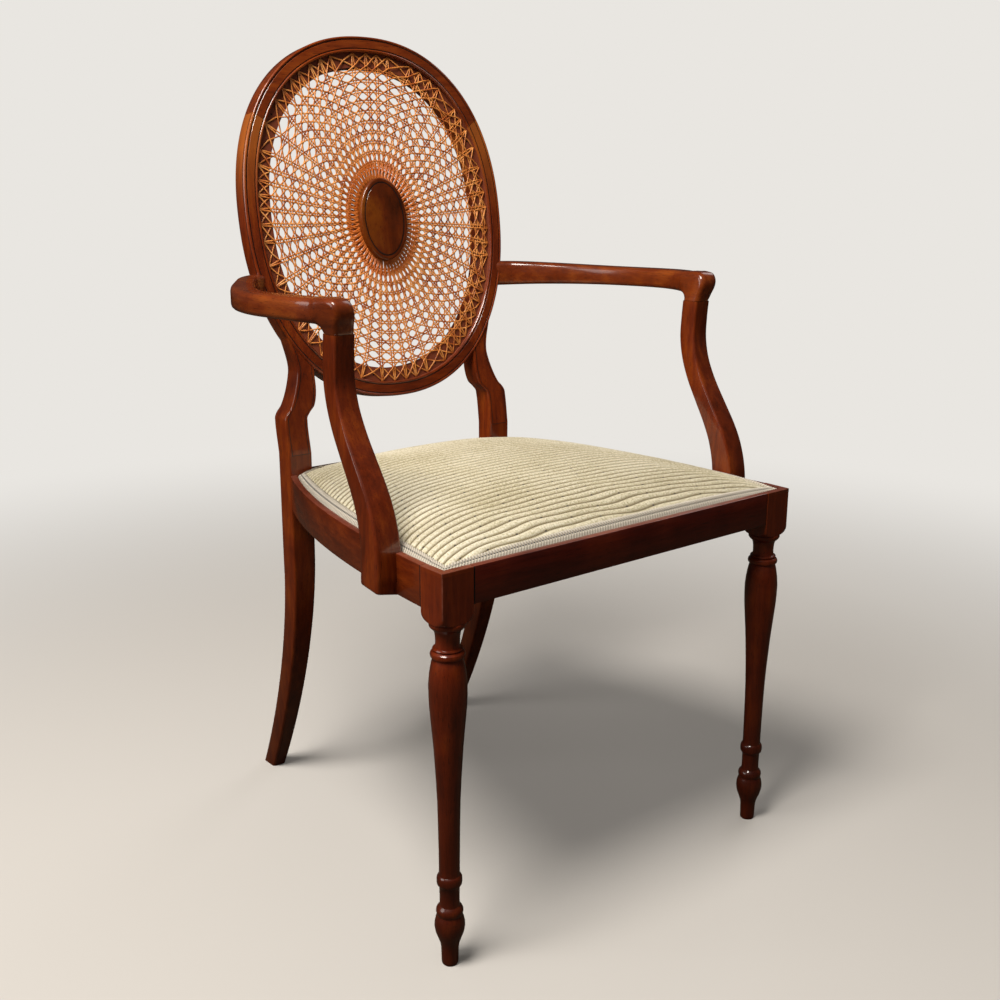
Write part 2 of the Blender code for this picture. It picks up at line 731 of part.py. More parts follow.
def cut_rebate(pieces):
    """One rebate round the top of the seat frame, in which the upholstery is tacked."""
    well = prism(seat_outline(0.0), REBATE_FLOOR, SEAT_HEIGHT + OVERRUN)
    guide = add_guide("seat_rebate", well)
    for piece in pieces:
        combine(piece, guide)


def arm_root():
    """Middle of the arm's rear end, on the outer edge of the oval."""
    height = ARM_HEIGHT - ARM_ROOT_HEIGHT / 2
    y = SEAT_DEPTH + (height - RAKE_HEIGHT) * math.tan(RAKE) + (POST_DEPTH - ARM_SINK) / 2
    return oval_edge(height), y, height


def arm_rings(side):
    """Upright sections of an arm, from the side of the oval to the scroll at its front end."""
    edge, root_y, root_z = arm_root()
    scroll_y, scroll_z = ARM_JOINT_Y + SUPPORT_TOP_WIDTH / 2 + ARM_FILLET, JOINT_HEIGHT
    plan = [Vector((edge, root_y))]
    for out, forward in ARM_PLAN_SHARES:
        plan.append(Vector((blend(edge, ARM_X, out), blend(root_y, ARM_JOINT_Y, forward))))
    plan.append(Vector((SUPPORT_X + ARM_TOE, scroll_y)))
    root = soft_section(ARM_ROOT_WIDTH, ARM_ROOT_HEIGHT, POST_CHAMFER)
    rings = [[(side * (edge - ARM_SINK), root_y + across, root_z + up) for across, up in root]]
    for i in range(1, len(plan) - 1):
        ahead = (plan[i + 1] - plan[i - 1]).normalized()
        aside = Vector((-ahead.y, ahead.x))
        share = min(1.0, i / 4)
        height = blend(ARM_ROOT_HEIGHT, ARM_THICKNESS, share)
        width = blend(ARM_ROOT_WIDTH, ARM_WIDTH, share)
        chamfer = blend(POST_CHAMFER, ARM_CHAMFER, share)
        ring = []
        for across, up in soft_section(width, height, chamfer):
            place = plan[i] + aside * across
            ring.append((side * place.x, place.y, ARM_HEIGHT - height / 2 + up))
        rings.append(ring)
    for turn, far in ARM_SCROLL_SHARES:
        angle = turn * math.pi / 2
        outward = Vector((-math.sin(angle), math.cos(angle)))
        length = SUPPORT_TOP_WIDTH * far
        middle = Vector((scroll_y, scroll_z)) + outward * (ARM_FILLET + length / 2)
        toe = blend(ARM_TOE, 0.0, turn)
        ring = []
        for across, up in soft_section(ARM_WIDTH * blend(1.0, SCROLL_SHARE, turn), length, ARM_CHAMFER):
            place = middle + outward * up
            ring.append((side * (SUPPORT_X + toe + across), place.x, place.y))
        rings.append(ring)
    return rings


def make_arm(side, name):
    """Arm and scroll in one, its rear end fitted to the outside of the oval."""
    arm = add_piece(name, loft(arm_rings(side)), MAHOGANY)
    fit = oval_arc(lower_cut(0.0), crest_cut(0.0), 26, side, GAP)
    combine(arm, add_guide(name + "_fit", fit, BACK))
    return arm


def make_arm_support(side, name):
    """Swept support that stands on the side rail's outer face, lapped over it and screwed from inside."""
    rings = []
    top = JOINT_HEIGHT - GAP
    for rise, forward, wide in SUPPORT_SHARES:
        height = blend(SUPPORT_FOOT, top, rise)
        y = ARM_JOINT_Y - SUPPORT_FORWARD * forward
        size = SUPPORT_WIDTH * wide
        points = soft_section(size, size, SUPPORT_CHAMFER * wide)
        rings.append([(side * SUPPORT_X + across, y + along, height) for across, along in points])
    support = add_piece(name, loft(rings), MAHOGANY)
    outline = []
    for i in range(9):
        x, y = side_curve(i / 8)
        outline.append((side * (x + GAP), y))
    outline.append((0.0, RAIL_END))
    outline.append((0.0, RAIL_START))
    lap = prism(outline, SUPPORT_FOOT - OVERRUN, SEAT_HEIGHT + GAP)
    combine(support, add_guide(name + "_lap", lap))
    braid_room = prism(seat_outline(0.0), REBATE_FLOOR, REBATE_FLOOR + GIMP_RISE + GAP)
    combine(support, add_guide(name + "_braid_room", braid_room))
    return support


def make_screw(name, head, direction, hosts, sink=0.0):
    """A countersunk screw: head is the middle of its flat face, and its point lies along direction."""
    direction = Vector(direction)
    turn = (-direction).to_track_quat("Z", "Y").to_matrix().to_4x4()
    placing = Matrix.Translation(Vector(head)) @ turn
    r, big = SCREW_RADIUS, SCREW_HEAD_RADIUS
    profile = [(0.0, 0.0), (big, 0.0), (r, -SCREW_HEAD_HEIGHT), (r, -SCREW_LENGTH * 0.8), (0.0, -SCREW_LENGTH)]
    screw = add_piece(name, turned(profile), BRASS, placing)
    spin_up(screw, ROUND_STEPS)
    r, big = r + GAP, big + GAP
    bore = [
        (0.0, sink),
        (big, sink),
        (big, -GAP),
        (r, -SCREW_HEAD_HEIGHT - GAP),
        (r, -SCREW_LENGTH - GAP),
        (0.0, -SCREW_LENGTH - GAP),
    ]
    guide = add_guide(name + "_bore", turned(bore), placing)
    spin_up(guide, ROUND_STEPS)
    for host in hosts:
        combine(host, guide)


def make_corner_blocks(rails, front_rail, rear_rail):
    """Glued and screwed blocks that brace the four corners of the seat frame."""
    top = REBATE_FLOOR - REBATE_DEPTH
    bottom = top - BRACE_HEIGHT
    middle = (top + bottom) / 2
    front_face = FRONT_RAIL_SETBACK - HALF_DEPTH + FRONT_RAIL_THICKNESS + GAP
    for side, word in ((-1, "left"), (1, "right")):
        leg_inner = LEG_X - HALF_BLOCK - GAP
        leg_back = HALF_DEPTH + GAP
        far = front_face + BRACE_LEG
        outline = [
            (leg_inner - BRACE_LEG, front_face),
            (leg_inner, front_face),
            (leg_inner, leg_back),
            (side_inner_at(leg_back) - GAP, leg_back),
            (side_inner_at(far) - GAP, far),
        ]
        front = add_piece(
            f"corner_block_front_{word}", prism([(side * x, y) for x, y in outline], bottom, top), BEECH
        )
        reach = SCREW_LENGTH - FRONT_RAIL_THICKNESS * 0.7
        x = side * (leg_inner - BRACE_LEG * 0.45)
        make_screw(
            f"front_block_screw_{word}", (x, front_face + reach, middle), (0, -1, 0), (front, front_rail), BRACE_LEG
        )
        y = far - BRACE_LEG * 0.30
        head = side_inner_at(y) - (SCREW_LENGTH - SIDE_RAIL_THICKNESS * 0.65)
        make_screw(
            f"side_block_screw_{word}", (side * head, y, middle), (side, 0, 0), (front, rails[word]), BRACE_LEG
        )
        back_face = REAR_RAIL_FRONT - GAP
        near = SEAT_DEPTH - BRACE_LEG
        outline = [
            (POST_INNER - GAP - BRACE_LEG, back_face),
            (POST_INNER - GAP, back_face),
            (POST_INNER - GAP, SEAT_DEPTH - GAP),
            (side_inner_at(near) - GAP, near),
        ]
        rear = add_piece(
            f"corner_block_rear_{word}", prism([(side * x, y) for x, y in outline], bottom, top), BEECH
        )
        x = side * (POST_INNER - BRACE_LEG * 0.42)
        reach = SCREW_LENGTH - REAR_RAIL_THICKNESS * 0.75
        make_screw(
            f"rear_block_screw_{word}", (x, back_face - reach, middle), (0, 1, 0), (rear, rear_rail), BRACE_LEG
        )
        y = near + BRACE_LEG * 0.28
        head = side_inner_at(y) - (SCREW_LENGTH - SIDE_RAIL_THICKNESS * 0.70)
        make_screw(
            f"rear_side_screw_{word}", (side * head, y, middle), (side, 0, 0), (rear, rails[word]), BRACE_LEG
        )


def make_support_fixings(rails, supports, arms, posts):
    """Two screws from inside the rail into each support, and the dowels at both ends of each arm."""
    y = ARM_JOINT_Y - SUPPORT_FORWARD
    upper = REBATE_FLOOR - REBATE_DEPTH - SCREW_HEAD_RADIUS
    for side, word in ((-1, "left"), (1, "right")):
        head = side_inner_at(y) + GAP
        for place, height in (("upper", upper), ("lower", upper - SCREW_PITCH)):
            make_screw(
                f"support_screw_{place}_{word}", (side * head, y, height), (side, 0, 0),
                (rails[word], supports[word]), OVERRUN
            )
        half = DOWEL_LENGTH / 2
        start = (side * SUPPORT_X, ARM_JOINT_Y, JOINT_HEIGHT - half)
        end = (side * SUPPORT_X, ARM_JOINT_Y, JOINT_HEIGHT + half)
        peg(f"arm_dowel_{word}", start, end, (arms[word], supports[word]))
        edge, root_y, height = arm_root()
        along = Vector((side * math.cos(ROOT_DOWEL_SLANT), -math.sin(ROOT_DOWEL_SLANT), 0.0)) * ROOT_DOWEL_LENGTH
        middle = Vector((side * edge, root_y, height))
        peg(
            f"arm_root_dowel_{word}", middle - along / 2, middle + along / 2, (arms[word], posts[word]),
            radius=ROOT_DOWEL_RADIUS
        )


def make_webbing():
    """Webbing over the seat frame: straps side to side, and straps front to back on top of them."""
    low = REBATE_FLOOR + GAP
    half = WEB_WIDTH / 2
    edge = REBATE_MARGIN + GAP + TENON_SHOULDER
    places = ("front", "middle", "rear")
    for place, share in zip(places, WEB_CROSSWISE_SHARES):
        y = blend(RAIL_START, RAIL_END, share)
        near, far = side_edge(y - half) - edge, side_edge(y + half) - edge
        outline = [(-near, y - half), (near, y - half), (far, y + half), (-far, y + half)]
        add_piece(f"webbing_across_{place}", prism(outline, low, low + WEB_THICKNESS), JUTE)
    low += WEB_THICKNESS + GAP
    for place, share in zip(("left", "middle", "right"), WEB_LENGTHWISE_SHARES):
        x = share * POST_OUTER
        front, back = edge - HALF_DEPTH, REAR_EDGE - GAP - TENON_SHOULDER
        bm = box((x - half, front, low), (x + half, back, low + WEB_THICKNESS))
        add_piece(f"webbing_along_{place}", bm, JUTE)
    return low + WEB_THICKNESS + GAP


def dome(outline, base, edge, crown):
    """Rings of an upholstered top: up from its base, over its edge and in to its crown."""
    middle_y = (outline[0][1] + REAR_EDGE) / 2
    rings = [[(x, y, base) for x, y in outline]]
    rings.append([(x, y, edge) for x, y in outline])
    for share in COVER_RING_SHARES:
        height = blend(edge, crown, 1 - (1 - share) ** CROWN_POWER_SHARE)
        rings.append([(x * (1 - share), blend(y, middle_y, share), height) for x, y in outline])
    return rings, Vector((0.0, middle_y, crown))


def close_top(bm, last, peak):
    centre = bm.verts.new(peak)
    for i, vert in enumerate(last):
        bm.faces.new((vert, last[(i + 1) % len(last)], centre))


def skin(rings, peak, floor=False):
    bm = bmesh.new()
    loops = [[bm.verts.new(point) for point in ring] for ring in rings]
    count = len(loops[0])
    for near, far in zip(loops, loops[1:]):
        for i in range(count):
            j = (i + 1) % count
            bm.faces.new((near[i], near[j], far[j], far[i]))
    close_top(bm, loops[-1], peak)
    if floor:
        bm.faces.new(reversed(loops[0]))
    return bm


def make_upholstery(hessian_floor):
    """Hessian, stuffed pad, cover and braid, from the inside out."""
    cover_inset = GIMP_WIDTH + 2 * GAP
    pad_inset = cover_inset + COVER_THICKNESS + 2 * GAP
    hessian_top = hessian_floor + HESSIAN_THICKNESS
    add_piece("hessian", prism(seat_outline(pad_inset + GAP), hessian_floor, hessian_top), JUTE)
    edge, crown = SEAT_HEIGHT + COVER_EDGE_RISE, SEAT_HEIGHT + COVER_CROWN_RISE
    drop = COVER_THICKNESS + 2 * GAP
    rings, peak = dome(seat_outline(pad_inset), hessian_top + GAP, edge - drop, crown - drop)
    add_piece("seat_stuffing", skin(rings, peak, floor=True), STUFFING)
    rings, peak = dome(seat_outline(cover_inset), REBATE_FLOOR + GAP, edge, crown)
    cover = add_piece("seat_cover", skin(rings, peak), FABRIC, sheet=True)
    shell = cover.modifiers.new("thickness", "SOLIDIFY")
    shell.thickness = COVER_THICKNESS
    shell.offset = -1.0
    low, high = REBATE_FLOOR + GAP, REBATE_FLOOR + GIMP_RISE
    outer, inner = seat_outline(GAP), seat_outline(GAP + GIMP_WIDTH)
    bm = bmesh.new()
    loops = []
    for outline, height in ((outer, low), (outer, high), (inner, high), (inner, low)):
        loops.append([bm.verts.new((x, y, height)) for x, y in outline])
    loops.append(loops[0])
    count = len(outer)
    for near, far in zip(loops, loops[1:]):
        for i in range(count):
            j = (i + 1) % count
            bm.faces.new((near[i], near[j], far[j], far[i]))
    add_piece("gimp_braid", bm, BRAID)


for old in list(bpy.data.objects):
    bpy.data.objects.remove(old, do_unlink=True)

PARTS = pick_collection("cane_back_chair")
GUIDES = pick_collection("cutters_and_guides")
CHAIR = bpy.data.objects.new("chair", None)
PARTS.objects.link(CHAIR)
CHAIR.location = (0.0, -CHAIR_MIDDLE, 0.0)
BACK = Matrix.Translation((0.0, OVAL_Y, OVAL_HEIGHT)) @ Matrix.Rotation(math.pi / 2 - RAKE, 4, "X")

MAHOGANY = finish_material("polished_mahogany", (0.20, 0.065, 0.022), 0.28)
MAHOGANY_DARK = finish_material("dark_mahogany", (0.11, 0.032, 0.014), 0.28)
BEECH = finish_material("beech", (0.46, 0.30, 0.16), 0.6)
CANE = finish_material("cane", (0.52, 0.25, 0.09), 0.5)
FABRIC = finish_material("corded_fabric", (0.58, 0.51, 0.32), 0.9)
BRAID = finish_material("gimp", (0.50, 0.46, 0.34), 0.9)
JUTE = finish_material("jute", (0.36, 0.26, 0.14), 0.95)
STUFFING = finish_material("stuffing", (0.55, 0.50, 0.40), 0.95)
BRASS = finish_material("brass", (0.60, 0.42, 0.16), 0.4, 1.0)
HIDDEN = finish_material("guide", (0.5, 0.5, 0.5), 0.5)

SIDES = (("left", -1), ("right", 1))
legs = {word: make_front_leg(side, f"front_leg_{word}") for word, side in SIDES}
posts = {word: make_rear_post(side, f"rear_post_{word}") for word, side in SIDES}
crest_rail, lower_rail = make_oval_rails()
front_rail, front_tenons = make_front_rail()
rear_rail, rear_tenons = make_rear_rail()
side_rails = {}
for word, side in SIDES:
    side_rails[word], tenons = make_side_rail(side, f"side_rail_{word}")
    mortise(legs[word], f"mortise_front_{word}", front_tenons[word], (side, 0, 0))
    mortise(legs[word], f"mortise_side_{word}", tenons["front"], (0, -1, 0))
    mortise(posts[word], f"mortise_post_{word}", tenons["rear"], (0, 1, 0))
    mortise(posts[word], f"mortise_rear_{word}", rear_tenons[word], (side, 0, 0))
cut_rebate([*legs.values(), *side_rails.values(), front_rail, rear_rail])
make_oval_pegs(posts, crest_rail, lower_rail)
make_cane_panel()
make_boss("boss_front", CANE_FRONT + GAP, CANE_FRONT + GAP + BOSS_FRONT_THICKNESS)
make_boss("boss_back", CANE_BACK - GAP - BOSS_BACK_THICKNESS, CANE_BACK - GAP)
arms = {word: make_arm(side, f"arm_{word}") for word, side in SIDES}
supports = {word: make_arm_support(side, f"arm_support_{word}") for word, side in SIDES}
make_corner_blocks(side_rails, front_rail, rear_rail)
make_support_fixings(side_rails, supports, arms, posts)
make_upholstery(make_webbing())
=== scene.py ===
"""Looks of a cane back elbow chair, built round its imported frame. Metres, +Z up, the chair faces -Y."""

import bisect
import functools
import math

import bmesh
import bpy
from mathutils import Matrix, Vector
from mathutils.bvhtree import BVHTree


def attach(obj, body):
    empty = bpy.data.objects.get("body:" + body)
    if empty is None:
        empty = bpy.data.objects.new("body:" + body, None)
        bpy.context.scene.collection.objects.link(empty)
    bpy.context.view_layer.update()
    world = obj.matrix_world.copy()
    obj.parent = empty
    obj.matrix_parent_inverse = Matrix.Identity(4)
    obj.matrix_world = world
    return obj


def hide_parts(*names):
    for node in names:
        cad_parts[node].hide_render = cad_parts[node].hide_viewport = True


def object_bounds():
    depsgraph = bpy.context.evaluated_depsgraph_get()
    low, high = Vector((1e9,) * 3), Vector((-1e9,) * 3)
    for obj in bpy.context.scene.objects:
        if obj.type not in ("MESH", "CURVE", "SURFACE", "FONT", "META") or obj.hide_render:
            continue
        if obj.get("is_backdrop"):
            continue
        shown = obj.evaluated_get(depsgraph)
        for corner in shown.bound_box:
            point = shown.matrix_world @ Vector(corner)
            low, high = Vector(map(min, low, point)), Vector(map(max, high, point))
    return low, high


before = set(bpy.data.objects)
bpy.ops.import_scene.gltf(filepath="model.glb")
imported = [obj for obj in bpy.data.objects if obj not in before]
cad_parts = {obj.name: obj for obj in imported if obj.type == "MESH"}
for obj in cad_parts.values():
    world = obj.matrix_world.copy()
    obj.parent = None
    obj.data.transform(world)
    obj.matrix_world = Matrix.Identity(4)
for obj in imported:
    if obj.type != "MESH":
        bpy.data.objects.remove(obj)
cad_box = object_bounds()

# The place it stands in: a pale plain floor that runs out into a pale background, one large soft lamp high on
# the left and two weak ones, and the camera at the photograph's angle.


def add_node(owner, kind, *values, stops=(), **named):
    """Add a node to a material or world. The values go to its inputs in use, in their order, and those whose name
    has a capital to the input of that name. Other names are settings of the node. A value is a number, a hex
    colour, a socket, or a node, whose first output in use is linked. stops are places and colours of a ramp."""
    tree = owner.node_tree
    node = tree.nodes.new("ShaderNode" + kind)
    for key in [key for key in named if key.islower()]:
        setattr(node, key, named.pop(key))
    inputs = list(zip((socket for socket in node.inputs if socket.enabled), values))
    for socket, value in inputs + [(node.inputs[key.replace("_", " ")], value) for key, value in named.items()]:
        if isinstance(value, bpy.types.Node):
            value = next(out for out in value.outputs if out.enabled and not out.is_unavailable)
        if isinstance(value, bpy.types.NodeSocket):
            tree.links.new(value, socket)
        else:
            socket.default_value = paint(value) if isinstance(value, str) else value
    if stops:
        ramp = node.color_ramp.elements
        for stop, (place, code) in ((ramp[0], stops[0]), (ramp[1], stops[-1])):
            stop.position, stop.color = place, paint(code)
        for place, code in stops[1:-1]:
            ramp.new(place).color = paint(code)
    return node


def paint(code):
    """The linear colour of an sRGB hex value."""
    shades = [int(code[i : i + 2], 16) / 255 for i in (1, 3, 5)]
    return tuple(s / 12.92 if s <= 0.04045 else ((s + 0.055) / 1.055) ** 2.4 for s in shades) + (1.0,)


def new_shader(name, store=bpy.data.materials):
    """An empty material or world, and a function that adds nodes to it."""
    made = store.new(name)
    made.use_nodes = True
    made.node_tree.nodes.clear()
    return made, functools.partial(add_node, made)


scene = bpy.context.scene
scene.view_settings.view_transform = "Standard"

BACKGROUND = "#e9e6e1"
room, add = new_shader("pale_room", bpy.data.worlds)
path = add("LightPath").outputs
seen = add("Math", path["Is Camera Ray"], path["Is Transmission Ray"], operation="MAXIMUM")
# The polish mirrors a dim room and not the pale backdrop.
dim = add("MapRange", path["Is Glossy Ray"], 0.0, 1.0, 0.28, 0.032)
soft_light = add("Background", "#eae6e0", Strength=dim)
backdrop = add("Background", BACKGROUND, Strength=1.0)
add("OutputWorld", add("MixShader", seen, soft_light, backdrop))
scene.world = room

floor_bm = bmesh.new()
bmesh.ops.create_circle(floor_bm, cap_ends=True, segments=96, radius=9.0)
floor_mesh = bpy.data.meshes.new("floor")
floor_bm.to_mesh(floor_mesh)
floor_bm.free()
floor = bpy.data.objects.new("floor", floor_mesh)
scene.collection.objects.link(floor)
# Matt pale paint, which fades into the background from half a metre to two metres out.
floor_paint, add = new_shader("pale_floor")
far = add("VectorMath", add("TexCoord").outputs["Object"], operation="LENGTH")
fade = add("MapRange", far, 0.55, 2.1, interpolation_type="SMOOTHSTEP")
by_camera = add("LightPath").outputs["Is Camera Ray"]
fade_seen = add("Math", fade, by_camera, operation="MULTIPLY")
# The chair sees a duller floor than the camera does, so that its undersides stay dark.
shade = add("Mix", by_camera, "#463c32", "#cbc8c3", data_type="RGBA")
matt = add("BsdfDiffuse", shade)
beyond = add("Emission", BACKGROUND, Strength=1.0)
add("OutputMaterial", add("MixShader", fade_seen, matt, beyond))
floor_mesh.materials.append(floor_paint)
floor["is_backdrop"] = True

for name, spot, aim, size, watts, colour in (
    ("key_lamp", (-1.15, -0.34, 2.4), (0.0, 0.0, 0.4), 1.0, 65, "#fff8f0"),
    ("left_lamp", (-2.6, 0.7, 1.6), (0.0, 0.0, 0.55), 1.6, 23, "#fffaf6"),
    ("right_lamp", (2.2, 0.4, 2.4), (0.0, 0.0, 0.5), 1.4, 10, "#fffafa"),
):
    data = bpy.data.lights.new(name, "AREA")
    data.shape, data.size, data.energy, data.color = "DISK", size, watts, paint(colour)[:3]
    lamp = bpy.data.objects.new(name, data)
    lamp.location = spot
    lamp.rotation_euler = (Vector(aim) - Vector(spot)).to_track_quat("-Z", "Y").to_euler()
    scene.collection.objects.link(lamp)

camera_data = bpy.data.cameras.new("camera")
camera_data.sensor_width, camera_data.lens = 36.0, 44.55
camera = bpy.data.objects.new("camera", camera_data)
camera.matrix_world = Matrix((
    (0.7726, 0.1619, -0.6139, -0.8722),
    (-0.6349, 0.2023, -0.7456, -1.1023),
    (0.0035, 0.9659, 0.2591, 0.7649),
    (0.0, 0.0, 0.0, 1.0),
))
scene.collection.objects.link(camera)
scene.camera = camera

# Seat frame: mahogany rails tenoned into the legs and posts, stained red brown and French polished. The side
# rails are sawn to a bow. A rebate round the top takes the tacks of the upholstery.

# Depths are measured from the axes of the front legs, which stand this far in front of the frame's origin.
CHAIR_MIDDLE = 0.2437
SEAT_HEIGHT, SEAT_DEPTH, REBATE_FLOOR, LIP = 0.415, 0.386, 0.411, 0.0075
LEG_X, HALF_BLOCK, HALF_DEPTH = 0.2275, 0.0185, 0.017
POST_OUTER, POST_WIDTH, POST_DEPTH = 0.166, 0.03, 0.0265
SIDE_REACH, RAIL_START, RAIL_END = 0.2455, 0.0173, 0.3857
SIDE_CURVE = ((1.0, 0.0), (0.9125, 0.303), (0.6375, 0.698), (0.0, 1.0))
SIDES = ((-1, "left"), (1, "right"))
GAP = 0.0003


def mahogany(name, grain, deep, middle, light, figure=0.5, faded=0.0):
    """French polished mahogany: fine dark pores, soft streaks along the axis of the grain and a slow figure."""
    material, add = new_shader(name)
    place = add("TexCoord").outputs["Object"]
    along = add("Mapping", place, Scale=[7.0 if axis == grain else 62.0 for axis in "XYZ"])
    wander = add("TexNoise", along, Scale=0.5, Detail=2.0)
    bent = add("VectorMath", along, wander.outputs["Color"], operation="ADD")
    streaks = add("TexNoise", bent, Scale=2.2, Detail=5.0, Roughness=0.62)
    figured = add("TexNoise", place, Scale=16.0, Detail=3.0, Distortion=0.6)
    blend = add("Mix", 0.3 + 0.3 * figure, streaks, figured)
    tones = add("ValToRGB", blend, stops=((0.3, deep), (0.5, middle), (0.72, light)))
    # Pores are 0.1 mm wide and 2 mm long in the real wood. Here they are drawn about three times coarser.
    pore_place = add("Mapping", place, Scale=[90 if axis == grain else 1400 for axis in "XYZ"])
    pores = add("TexNoise", pore_place, Scale=1.0, Detail=1.0)
    pits = add("MapRange", pores, 0.6, 0.72, 0.0, 0.55)
    pitted = add("Mix", pits, tones, "#1c0703", data_type="RGBA")
    # Hands and dusters have rubbed the edges paler.
    arris = add("NewGeometry").outputs["Pointiness"]
    rubbed = add("MapRange", arris, 0.53, 0.6, 0.0, 0.3)
    worn = add("Mix", rubbed, pitted, light, data_type="RGBA")
    # Painted shade darkens the lower parts towards the floor.
    height = add("SeparateXYZ", place).outputs["Z"]
    low = add("MapRange", height, 0.42, 0.05, 0.0, 0.55, interpolation_type="SMOOTHSTEP")
    aged = add("Mix", low, worn, "#1a0401", data_type="RGBA")
    # Sun has faded the upper part of the posts, which ends at the joint with the darker crest.
    high = add("MapRange", height, 0.7, 0.82, 0.0, faded, interpolation_type="SMOOTHSTEP")
    sunned = add("Mix", high, aged, "#c8762e", data_type="RGBA")
    smears = add("TexNoise", place, Scale=34.0, Detail=4.0, Roughness=0.6)
    sheen = add("MapRange", smears, 0.3, 0.7, 0.34, 0.5)
    relief = add("Bump", Height=pits, Strength=0.12, Distance=0.0002, invert=True)
    polish = add("BsdfPrincipled", Base_Color=sunned, Roughness=sheen, IOR=1.25, Normal=relief,
                 Coat_Weight=0.9, Coat_Roughness=0.13, Coat_IOR=1.5)
    add("OutputMaterial", polish)
    return material


def inlay(name, code, roughness):
    """Thin line of dyed wood or shadow let into the polish: even in colour, a little duller."""
    material, add = new_shader(name)
    flecks = add("TexNoise", add("TexCoord").outputs["Object"], Scale=420.0)
    tone = add("MapRange", flecks, 0.0, 1.0, roughness - 0.1, roughness + 0.1)
    add("OutputMaterial", add("BsdfPrincipled", Base_Color=code, Roughness=tone, Coat_Weight=0.2))
    return material


def sweep(bm, sections, tints=None, tints_from=0, bands=None, closed=False):
    """Draw a first section out through the others. A section is a list of points. tints gives the material of
    the faces that start at a point of the section, from one section on, and bands that of whole steps. A closed
    sweep ends where it starts."""
    tints, bands = tints or {}, bands or {}
    mark = bm.verts.layers.int.get("mark") or bm.verts.layers.int.new("mark")
    count = len(sections[0])
    verts = bmesh.ops.create_circle(bm, cap_ends=False, segments=count, radius=1.0)["verts"]
    edges = list({edge for vert in verts for edge in vert.link_edges})
    for k, vert in enumerate(verts):
        vert[mark] = k
        vert.co = sections[0][k]
    ends = [edges]
    for i, section in enumerate(sections[1:]):
        drawn = bmesh.ops.extrude_edge_only(bm, edges=edges)["geom"]
        for vert in drawn:
            if isinstance(vert, bmesh.types.BMVert):
                vert.co = section[vert[mark]]
        edges = [edge for edge in drawn if isinstance(edge, bmesh.types.BMEdge) and edge.is_boundary]
        for edge in edges:
            low, high = sorted(vert[mark] for vert in edge.verts)
            start = high if (low, high) == (0, count - 1) else low
            edge.link_faces[0].material_index = bands.get(i, tints.get(start, 0) if i >= tints_from else 0)
    ends.append(edges)
    for edges in [] if closed else ends:
        bmesh.ops.edgeloop_fill(bm, edges=edges)


def stand_in(name, bm, materials, nodes):
    """Turn a mesh into a piece of the chair, in the place of nodes of the frame."""
    bmesh.ops.translate(bm, vec=(0.0, -CHAIR_MIDDLE, 0.0), verts=bm.verts)
    mesh = bpy.data.meshes.new(name)
    bm.to_mesh(mesh)
    bm.free()
    for material in materials:
        mesh.materials.append(material)
    mesh.shade_smooth()
    piece = bpy.data.objects.new(name, mesh)
    scene.collection.objects.link(piece)
    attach(piece, "root")
    if nodes:
        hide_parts(*nodes)
    return piece


def settle(name, bm, materials, nodes, sharp=35):
    """Close a mesh, turn its faces outward and make it a piece with its edges sharp from an angle on."""
    bmesh.ops.remove_doubles(bm, verts=bm.verts, dist=0.000005)
    bmesh.ops.recalc_face_normals(bm, faces=bm.faces)
    piece = stand_in(name, bm, materials, nodes)
    piece.data.set_sharp_from_angle(angle=math.radians(sharp))
    return piece


def side_curve(u):
    """Outer edge of a side rail in plan, from the leg block to the rear post."""
    weights = ((1 - u) ** 3, 3 * u * (1 - u) ** 2, 3 * u * u * (1 - u), u**3)
    out, back = (sum(w * share[k] for w, share in zip(weights, SIDE_CURVE)) for k in (0, 1))
    return POST_OUTER + (SIDE_REACH - POST_OUTER) * out, RAIL_START + (RAIL_END - RAIL_START) * back


def side_slope(u, step=0.01):
    """How much wider than square across the rail is where it runs at a slant."""
    (x0, y0), (x1, y1) = side_curve(max(u - step, 0.0)), side_curve(min(u + step, 1.0))
    return math.hypot(x1 - x0, y1 - y0) / (y1 - y0)


def rail_section(thickness, bottom, lip=LIP, ease=0.0012):
    """Outer edge eased, a lip on top and the rebate behind it: distance in from the face, and height."""
    return [
        (ease, bottom), (0.0003, bottom + 0.0004), (0.0, bottom + ease),
        (0.0, SEAT_HEIGHT - ease), (0.0004, SEAT_HEIGHT - 0.0003), (ease, SEAT_HEIGHT),
        (lip, SEAT_HEIGHT), (lip, REBATE_FLOOR), (thickness, REBATE_FLOOR), (thickness, bottom),
    ]


def paint_top_sheen_and_wear(bm):
    """The flat top of the seat frame takes the paler second material: painted sheen, and rubbing by hands and dusters.
    """
    bmesh.ops.recalc_face_normals(bm, faces=bm.faces)
    for face in bm.faces:
        if face.normal.z > 0.7 and face.calc_center_median().z > SEAT_HEIGHT - 0.0015:
            face.material_index = 1


RED_BROWN = ("#3c1104", "#5c1f06", "#80350c")
# A darker copy of the mahogany for the rails that run across: painted shade, as the front rail's face lies in shade.
SHADE_DARKENED_BROWN = ("#300803", "#4c1206", "#64200a")
# A paler copy of the mahogany for tops and the blocks' outer corners: painted sheen and highlight, and some rubbing.
SHEEN_AND_WEAR_BROWN = ("#4a1a0c", "#6e3424", "#8e5442")
sheen_and_wear_across = mahogany("mahogany_lip_painted_sheen_and_wear_across", "X", *SHEEN_AND_WEAR_BROWN)
sheen_and_wear_along = mahogany("mahogany_lip_painted_sheen_and_wear_back_to_front", "Y", *SHEEN_AND_WEAR_BROWN)
shade_darkened_rail_across = mahogany("polished_mahogany_across_darkened_for_painted_shade", "X", *SHADE_DARKENED_BROWN)
rail_along = mahogany("polished_mahogany_grain_back_to_front", "Y", *RED_BROWN)
# The ends of the front and side rails are eased by a hair, and wax and dirt have darkened the joint.
joint_dirt = inlay("wax_and_dirt_in_joint", "#120502", 0.6)
EASED_END = 0.0009

